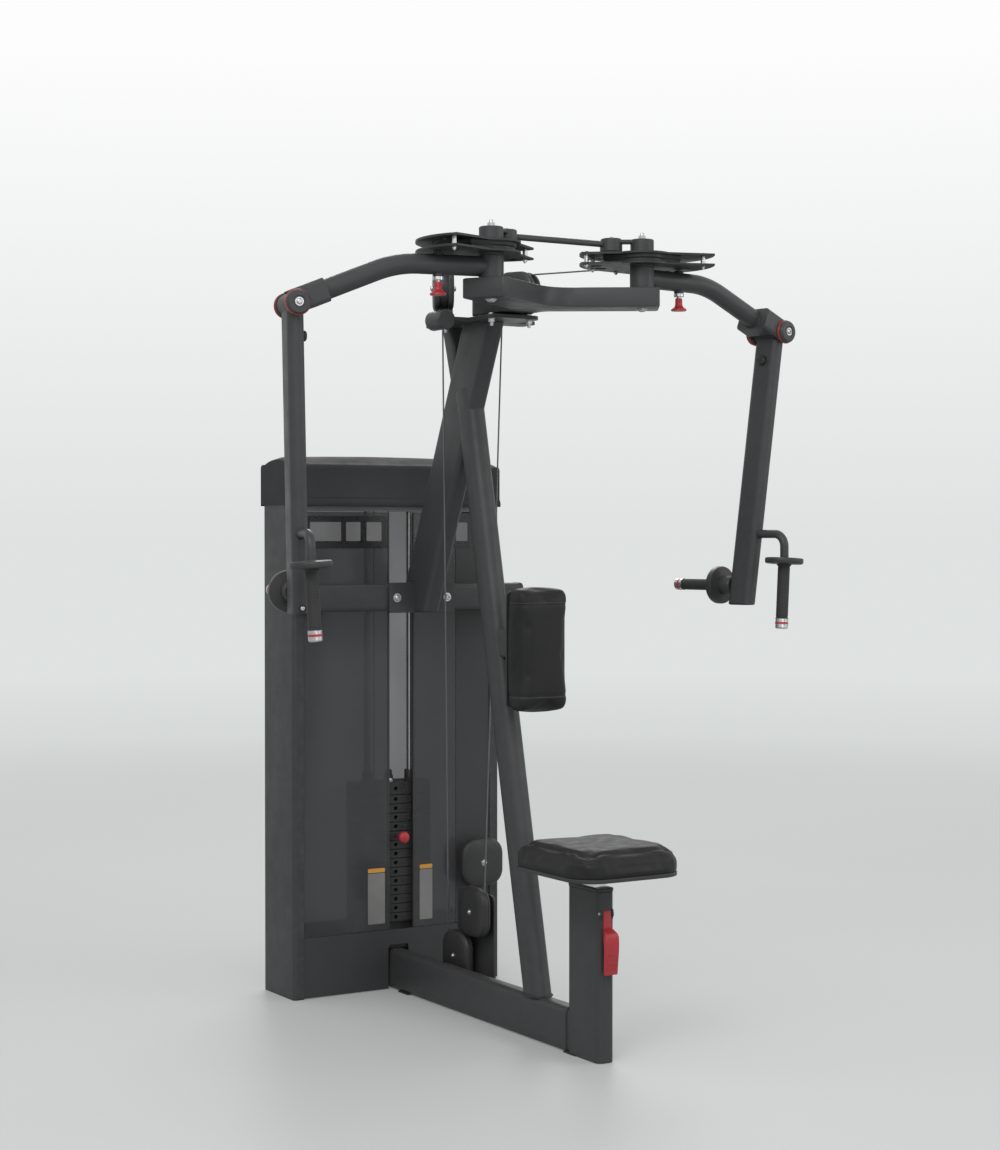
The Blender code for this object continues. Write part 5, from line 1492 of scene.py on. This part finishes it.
# ---------------------------------------------------------------- tower

PLATE_PITCH = 0.0263
PLATE_COUNT = 14
LIFTED = 5
ROD_X = 0.07
ROPE_TURN = 0.045


def column_outline(side):
    """Plan of half the tower's sheet: a front lip, the side, and the rear up to the middle."""
    steps = 10
    return_x = 0.0005
    corner = 0.012
    wall = 0.003
    points = [(TOWER_HALF - 0.032, TOWER_FRONT)]
    points += arc((TOWER_HALF - corner, TOWER_FRONT + corner), corner, -90, 0, steps)
    points += arc((TOWER_HALF - corner, TOWER_BACK - corner), corner, 0, 90, steps)
    points += [(return_x, TOWER_BACK), (return_x, TOWER_BACK - wall)]
    points += arc((TOWER_HALF - corner, TOWER_BACK - corner), corner - wall, 90, 0, steps)
    points += arc((TOWER_HALF - corner, TOWER_FRONT + corner), corner - wall, 0, -90, steps)
    points += [(TOWER_HALF - 0.032, TOWER_FRONT + wall)]
    return [(side * x, y) for x, y in points]


def make_hood():
    """Hood with a crowned top, a face that bows forward and a rolled lower lip."""
    half = HEADER_HIGH.x
    front = HEADER_LOW.y
    back = HEADER_HIGH.y
    low = HEADER_LOW.z
    shoulder = 1.51
    crown = HEADER_HIGH.z
    across = 32
    corner = 0.012
    quarter = [math.pi / 2 * step / 6 for step in range(7)]
    rings = []
    for i in range(across + 1):
        t = -1 + 2 * i / across
        bow = 0.008 * (1 - t * t)
        end = max(0.0, abs(t) - 0.965) / 0.035
        tuck = 0.01 * end * end
        lip = front - bow + tuck
        ring = [
            (lip - 0.004, low), (lip - 0.0065, low + 0.006), (lip - 0.005, low + 0.014), (lip, low + 0.022)
        ]
        face = front - bow * 0.8 + tuck
        ring.append((face, shoulder - 0.014))
        for turn in quarter:
            ring.append((face + corner * (1 - math.cos(turn)), shoulder - corner + corner * math.sin(turn)))
        for j in range(1, 12):
            s = -1 + 2 * j / 12
            y = (front + back) / 2 + s * ((back - front) / 2 - corner)
            lift = (crown - shoulder) * (1 - s * s) * (1 - 0.25 * t * t)
            ring.append((y, shoulder + lift - 0.006 * end))
        for turn in quarter:
            ring.append((back - corner * (1 - math.sin(turn)), shoulder - corner + corner * math.cos(turn)))
        ring += [(back, low), (back - 0.004, low), (back - 0.004, low + 0.004), (lip + 0.004, low + 0.004)]
        rings.append([Vector((half * t, y, z)) for y, z in ring])
    hood = build("hood_shell", strip(rings))
    dress(hood, HOOD_PAINT, stands_for=("header",))
    rings = []
    for i in range(33):
        t = -1 + 2 * i / 32
        bow = 0.008 * (1 - t * t)
        x = (half - 0.006) * t
        groove = ((-0.0009, 1.416), (0.002, 1.416), (0.002, 1.4146), (-0.0009, 1.4146))
        rings.append([Vector((x, front - bow + out, z)) for out, z in groove])
    piece("hood_shadow_line", strip(rings), DARK_PAINT)


def make_tower():
    """Sheet tower with its hood, windows, header pulley and guide rods."""
    for side, word in SIDES:
        shell = raised(column_outline(side), 0.003, COLUMN_HIGH.z)
        piece("column_shell_" + word, shell, SHEET, stands_for=("column_" + word,))
        foot = raised(column_outline(side), 0.0, 0.0032)
        piece("column_foot_" + word, foot, BLACK_PLASTIC)
        for z in (0.1, 0.75, 1.33):
            screw((side * (TOWER_HALF - 0.05), TOWER_BACK, z), TO_REAR, 0.0048, height=0.0026)
    make_hood()
    for name, node, finish in (
        ("left_window", "window_left", SMOKED),
        ("right_window", "window_right", SMOKED),
        ("pulley_side_panel", "side_panel", SHEET),
    ):
        low, high = corners(node)
        middle = (low + high) / 2
        size = high - low
        sheet = front_panel((size.x, size.z, 0.004, 4), (middle.x, middle.z), low.y, size.y)
        piece(name, sheet, finish, stands_for=(node,), edge=0.0008)
    low, high = corners("kick_panel")
    outline = [(low.x, low.z), (-0.033, low.z), (-0.033, 0.119)]
    outline += arc((-0.025, 0.119), 0.008, 180, 90, 4) + arc((0.025, 0.119), 0.008, 90, 0, 4)
    outline += [(0.033, low.z), (high.x, low.z), (high.x, high.z), (low.x, high.z)]
    piece(
        "kick_sheet", upright(outline, low.y, high.y - low.y), SHEET, stands_for=("kick_panel",),
        edge=0.0008
    )
    for name, x in (("slot_edge_left", -0.032), ("slot_edge_right", 0.05)):
        trim = bar_along((0.005, 0.0078, 0.0012, 3), [(x, 0.506, 0.174), (x, 0.506, 1.3725)], TO_REAR)
        piece(name, trim, BLACK_PLASTIC)
    strip_low = Vector((-0.325, 0.5035, 1.3765))
    strip_high = Vector((0.325, 0.5085, 1.392))
    middle = (strip_low + strip_high) / 2
    size = strip_high - strip_low
    lath = front_panel((size.x, size.z, 0.003, 3), (middle.x, middle.z), strip_low.y, size.y)
    piece("window_top_strip", lath, TRIM, edge=0.0008)
    # light grey self-lit sheet inside the back: painted light standing in for the lit rear wall seen
    # through the slot
    liner = front_panel((2 * TOWER_HALF - 0.03, 1.2, 0.006, 3), (0, 0.78), TOWER_BACK - 0.0055, 0.002)
    piece("rear_liner_painted_light", liner, PAINTED_LIGHT_LINER, edge=0.0006)

    inner = TOWER_HALF - 0.0045
    base = bar_along(
        (0.11, 0.0345, 0.004, 3), [(-inner, STACK_Y + 0.002, 0.1327), (inner, STACK_Y + 0.002, 0.1327)]
    )
    piece("stack_base_bar", base, DARK_PAINT, stands_for=("stack_base",))
    bridge = build(
        "crossmember_bar",
        bar_along((0.06, 0.02, 0.004, 3), [(-inner, STACK_Y, 1.41), (inner, STACK_Y, 1.41)])
    )
    cut(bridge, tube_between((0, STACK_Y, 1.3), (0, STACK_Y, 1.5), 0.007, 24))
    dress(bridge, DARK_PAINT, stands_for=("top_crossmember",))
    for number, x in enumerate((-0.027, 0.027)):
        ear = [Vector((x, y + 0.6025, z + 1.445)) for y, z in rounded_rectangle(0.042, 0.07, 0.008, 4)]
        rings = [[p + Vector((dx, 0, 0)) for p in ear] for dx in (-0.003, 0.003)]
        piece(f"pulley_ear_{number}", strip(rings), DARK_PAINT, edge=0.0006)
    spin = joint_at("header_pulley_spin")
    piece(
        "header_pulley_axle",
        tube_between(spin - Vector((0.03, 0, 0)), spin + Vector((0.03, 0, 0)), 0.0068, 24), ZINC
    )
    groove = ROPE_TURN - CABLE_RADIUS - 0.0008
    wheel = [
        (0.0073, -0.01), (0.048, -0.01), (groove, -0.003), (groove, 0.003), (0.048, 0.01), (0.0073, 0.01)
    ]
    lathe(
        "header_pulley_wheel", wheel, spin, TO_RIGHT, 64, BLACK_PLASTIC, "top_wheel",
        stands_for=("header_pulley",)
    )
    for side, word in SIDES:
        low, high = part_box("guide_rod_" + word)
        rod = tube_between((side * ROD_X, STACK_Y, low[2]), (side * ROD_X, STACK_Y, high[2]), 0.01, 40)
        piece("guide_rod_bar_" + word, rod, ROD_STEEL, stands_for=("guide_rod_" + word,))
        spring = [
            (0.0116, 0.152), (0.019, 0.152), (0.02, 0.156), (0.019, 0.164), (0.02, 0.172), (0.019, 0.18),
            (0.02, 0.185), (0.0116, 0.188)
        ]
        lathe("rod_bumper_" + word, spring, (side * ROD_X, STACK_Y, 0), UP, 40, GRIP_RUBBER)
    cushion = level_slab((0.22, 0.06, 0.02, 6), (0, STACK_Y), 0.1503, 0.189)
    way = tube_between((0, STACK_Y, 0.1), (0, STACK_Y, 0.3), 0.0145, 28)
    piece(
        "stack_cushion_block", cushion, GRIP_RUBBER, stands_for=("stack_cushion",), edge=0.002,
        cutters=(way,)
    )



def make_stack():
    """Weight plates, selector rod and pin, and the pin's coiled lanyard."""
    width = PLATES_HIGH.x - PLATES_LOW.x
    depth = PLATES_HIGH.y - PLATES_LOW.y
    front = PLATES_LOW.y
    for number in range(PLATE_COUNT + 1):
        low = RESTING_LOW.z + PLATE_PITCH * number
        high = low + PLATE_PITCH - 0.0012 if number < PLATE_COUNT else PLATES_HIGH.z
        lifted = number >= PLATE_COUNT - LIFTED
        body = "stack" if lifted else "frame"
        stands = {0: ("resting_plates",), PLATE_COUNT: ("lifted_plates",)}.get(number, ())
        hole_z = low + PLATE_PITCH / 2 if number < PLATE_COUNT else high - 0.018
        slab = level_slab((width, depth, 0.008, 5), (0, STACK_Y), low + 0.0002, high)
        cutters = [tube_between((0, front - 0.01, hole_z), (0, front + 0.03, hole_z), 0.0058, 20)]
        for x, radius in ((-ROD_X, 0.0115), (0.0, 0.0145), (ROD_X, 0.0115)):
            cutters.append(tube_between((x, STACK_Y, low - 0.01), (x, STACK_Y, high + 0.01), radius, 24))
        piece(
            f"stack_plate_{number:02d}", slab, STACK_IRON, body, stands_for=stands, edge=0.0016,
            cutters=cutters
        )
        if number % 2 == 0:
            tag = front_panel((0.02, 0.011, 0.002, 3), (0.026, hole_z), front - 0.0004, 0.0008)
            piece(f"plate_tag_{number:02d}", tag, PLACARD, body, slot="stack_iron")
    rod_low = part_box("selector_rod")[0]
    pin_z = RESTING_LOW.z + PLATE_PITCH * (PLATE_COUNT - LIFTED) + PLATE_PITCH / 2
    rod = tube_between((0, STACK_Y, rod_low[2]), (0, STACK_Y, PLATES_HIGH.z + 0.004), 0.0125, 32)
    way = tube_between((0, front - 0.01, pin_z), (0, STACK_Y + 0.03, pin_z), 0.0054, 20)
    piece("selector_bar", rod, ROD_STEEL, "stack", stands_for=("selector_rod",), cutters=(way,))
    top = PLATES_HIGH.z
    fitting = [
        (0.0, top), (0.015, top), (0.015, top + 0.003), (0.0128, top + 0.004), (0.0128, top + 0.016),
        (0.01, top + 0.02), (0.01, top + 0.03), (0.0075, top + 0.034), (0.0, top + 0.034)
    ]
    lathe("rope_fitting", fitting, (0, STACK_Y, 0), UP, 36, DARK_PAINT, "stack")
    nut((0, STACK_Y, top + 0.001), UP, 0.0155, "stack", length=0.008, stud=0.0)
    for side, word in SIDES:
        bush = [
            (0.0112, top), (0.02, top), (0.02, top + 0.003), (0.0158, top + 0.005), (0.0158, top + 0.029),
            (0.0148, top + 0.031), (0.0112, top + 0.031)
        ]
        lathe(
            "guide_bush_" + word, bush, (side * ROD_X, STACK_Y, 0), UP, 40, BLACK_PLASTIC, "stack",
            slot="stack_iron"
        )

    profile = [
        (0.0, -0.102), (0.01, -0.1018), (0.014, -0.0998), (0.0165, -0.095), (0.0165, -0.0875),
        (0.015, -0.0845), (0.011, -0.083), (0.0, -0.0828)
    ]
    lathe(
        "pin_ball", profile, (0, STACK_Y, pin_z), TO_REAR, 48, RED_PLASTIC, "selector",
        stands_for=("selector_pin",)
    )
    shank = [
        (0.0, -0.083), (0.0085, -0.083), (0.0085, -0.08), (0.005, -0.0785), (0.005, 0.004), (0.0032, 0.008),
        (0.0, 0.008)
    ]
    lathe("pin_rod", shank, (0, STACK_Y, pin_z), TO_REAR, 28, ZINC, "selector")
    turns = 15
    helix = []
    top_z = top + 0.012
    for i in range(turns * 14 + 1):
        t = i / (turns * 14)
        angle = 2 * math.pi * turns * t
        centre = Vector(
            (
                0.016 + 0.02 * math.sin(math.pi * t), front - 0.01 - 0.004 * math.sin(math.pi * t),
                pin_z + 0.012 + (top_z - pin_z - 0.012) * t
            )
        )
        helix.append(centre + Vector((0.004 * math.cos(angle), 0.004 * math.sin(angle), 0)))
    piece("pin_lanyard", swept(circle(0.0011, 8), helix, (0.3, 0.2, 0.93)), GRIP_RUBBER, "stack")


def make_cables():
    """Arm ropes, stack rope and return rope; returns the stack rope and its top."""
    low_ends = {-1: (0.065, 0.33, 0.187), 1: (0.065, 0.13, 0.3215)}
    for side, word in SIDES:
        centre, run, _ = head_pulley_frame(side)
        reach = CABLE_Z - centre.z
        span = math.hypot(PIVOT.x - abs(centre.x), PIVOT.y - centre.y)
        span = math.sqrt(span**2 - DRUM_RADIUS**2)
        path = [centre + run * span + Vector((0, 0, reach)), centre + Vector((0, 0, reach))]
        for i in range(1, 13):
            turn = math.radians(7.5 * i)
            path.append(centre - run * reach * math.sin(turn) + Vector((0, 0, reach * math.cos(turn))))
        path.append(Vector(low_ends[side]))
        rope("arm_rope_" + word, path, "cable_" + word)
    rope_low, rope_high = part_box("stack_cable")
    stack_rope = piece(
        "stack_rope",
        swept(circle(CABLE_RADIUS, 14), [(0, STACK_Y, rope_low[2]), (0, STACK_Y, rope_high[2])], TO_RIGHT),
        WIRE, stands_for=("stack_cable",)
    )
    spin = joint_at("header_pulley_spin")
    path = [Vector((0, STACK_Y, rope_high[2])), Vector((0, STACK_Y, spin.z))]
    for i in range(1, 25):
        turn = math.radians(7.5 * i)
        path.append(Vector((0, spin.y - ROPE_TURN * math.cos(turn), spin.z + ROPE_TURN * math.sin(turn))))
    path.append(Vector((0, spin.y + ROPE_TURN, BEAM_HIGH.z + 0.0006)))
    anchor = [
        (0.0026, 0.0), (0.013, 0.0), (0.0135, 0.001), (0.013, 0.004), (0.0075, 0.0055), (0.007, 0.02),
        (0.006, 0.0215), (0.0026, 0.0215)
    ]
    lathe("return_rope_anchor", anchor, (0, spin.y + ROPE_TURN, BEAM_HIGH.z), UP, 40, BLACK_PLASTIC)
    rope("return_rope", path, "return_cable")
    return stack_rope, rope_high


def make_covers():
    """Pulley covers: rounded squares with a domed face, a dark parting line and a bolt."""
    covers = (
        ("base_pulley_cover_1", Vector((0, -1, 0)), Vector((1, 0, 0))),
        ("base_pulley_cover_2", Vector((-1, 0, 0)), Vector((0, -1, 0))),
        ("base_pulley_cover_3", Vector((-1, 0, 0)), Vector((0, -1, 0))),
    )
    for name, face, side in covers:
        low, high = corners(name)
        centre = (low + high) / 2
        if abs(face.y):
            centre.y = low.y + 0.017
        else:
            centre.x = low.x + 0.017
        up = face.cross(side)
        half = 0.069
        rings = []
        for size, corner, height in (
            (0.8, 0.036, -0.013), (0.93, 0.04, -0.0125), (0.985, 0.044, -0.009), (1.0, 0.046, -0.004),
            (1.0, 0.046, 0.004), (0.985, 0.045, 0.0085), (0.94, 0.042, 0.012), (0.84, 0.038, 0.0146),
            (0.6, 0.03, 0.0164), (0.25, 0.014, 0.017)
        ):
            outline = rounded_rectangle(2 * half * size, 2 * half * size, corner, 10)
            rings.append([centre + side * u + up * v + face * height for u, v in outline])
        piece(name + "_shell", strip(rings), BLACK_PLASTIC, stands_for=(name,))
        groove = [
            centre + side * u + up * v - face * 0.0052
            for u, v in rounded_rectangle(2 * half + 0.0004, 2 * half + 0.0004, 0.046, 10)
        ]
        rim = swept(circle(0.0009, 8), groove + [groove[0]], face)
        piece(name + "_parting", rim, GRIP_RUBBER, slot="black_plastic")
        screw(centre + face * 0.017, face, 0.0062)
        spindle = tube_between(
            centre - face * 0.012, centre - face * (0.03 if abs(face.x) else 0.0472), 0.012, 32
        )
        piece(name + "_spindle", spindle, DARK_PAINT)
    low, high = corners("base_pulley_bracket")
    outline = [
        Vector((0.0983, y, z))
        for y, z in shifted(
            rounded_rectangle(high.y - low.y, high.z - 0.03, 0.02, 5), (low.y + high.y) / 2,
            (high.z + 0.03) / 2
        )
    ]
    rings = [[p + Vector((dx, 0, 0)) for p in outline] for dx in (-0.003, 0.003)]
    piece("pulley_bracket_plate", strip(rings), PAINT, stands_for=("base_pulley_bracket",), edge=0.0008)
    foot = bar_along((0.03, 0.1, 0.004, 3), [(0.0253, 0.25, 0.033), (0.0965, 0.25, 0.033)], TO_REAR)
    piece("pulley_bracket_foot", foot, PAINT, edge=0.0008)


def flat_tag(name, x0, x1, z0, z1, y, finish, thick):
    """Blank label on the front of the tower."""
    outline = shifted(rounded_rectangle(x1 - x0, z1 - z0, 0.003, 4), (x0 + x1) / 2, (z0 + z1) / 2)
    return piece(name, upright(outline, y, -thick), finish)


def make_placards():
    """Blank instruction plates and stickers: plain panels with no lettering."""
    y = 0.5035
    flat_tag("placard_left", -0.294, -0.036, 1.272, 1.363, y, PLACARD, 0.0015)
    for number, (x0, x1) in enumerate(((-0.284, -0.186), (-0.17, -0.124), (-0.104, -0.056))):
        flat_tag(f"placard_field_{number}", x0, x1, 1.292, 1.346, y - 0.0015, PLACARD_LIGHT, 0.0004)
    flat_tag("placard_right", 0.184, 0.238, 1.272, 1.363, y, PLACARD, 0.0015)
    flat_tag("placard_field_3", 0.192, 0.23, 1.292, 1.346, y - 0.0015, PLACARD_LIGHT, 0.0004)
    for word, x0, x1 in (("left", -0.1, -0.045), ("right", 0.07, 0.112)):
        flat_tag("decal_" + word, x0, x1, 0.192, 0.338, y, DECAL, 0.0004)
        flat_tag("decal_band_" + word, x0, x1, 0.34, 0.352, y, DECAL_BAND, 0.0004)


make_view()
make_base()
make_mast()
make_seat_post_lever()
make_seat()
make_back_pad()
make_head()
for side, word in SIDES:
    make_cam(side, word)
    make_arm(side, word)
    make_lower_arm(side, word)
make_tower()
make_stack()
ROPE, ROPE_TOP = make_cables()
make_covers()
make_placards()

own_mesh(ROPE)
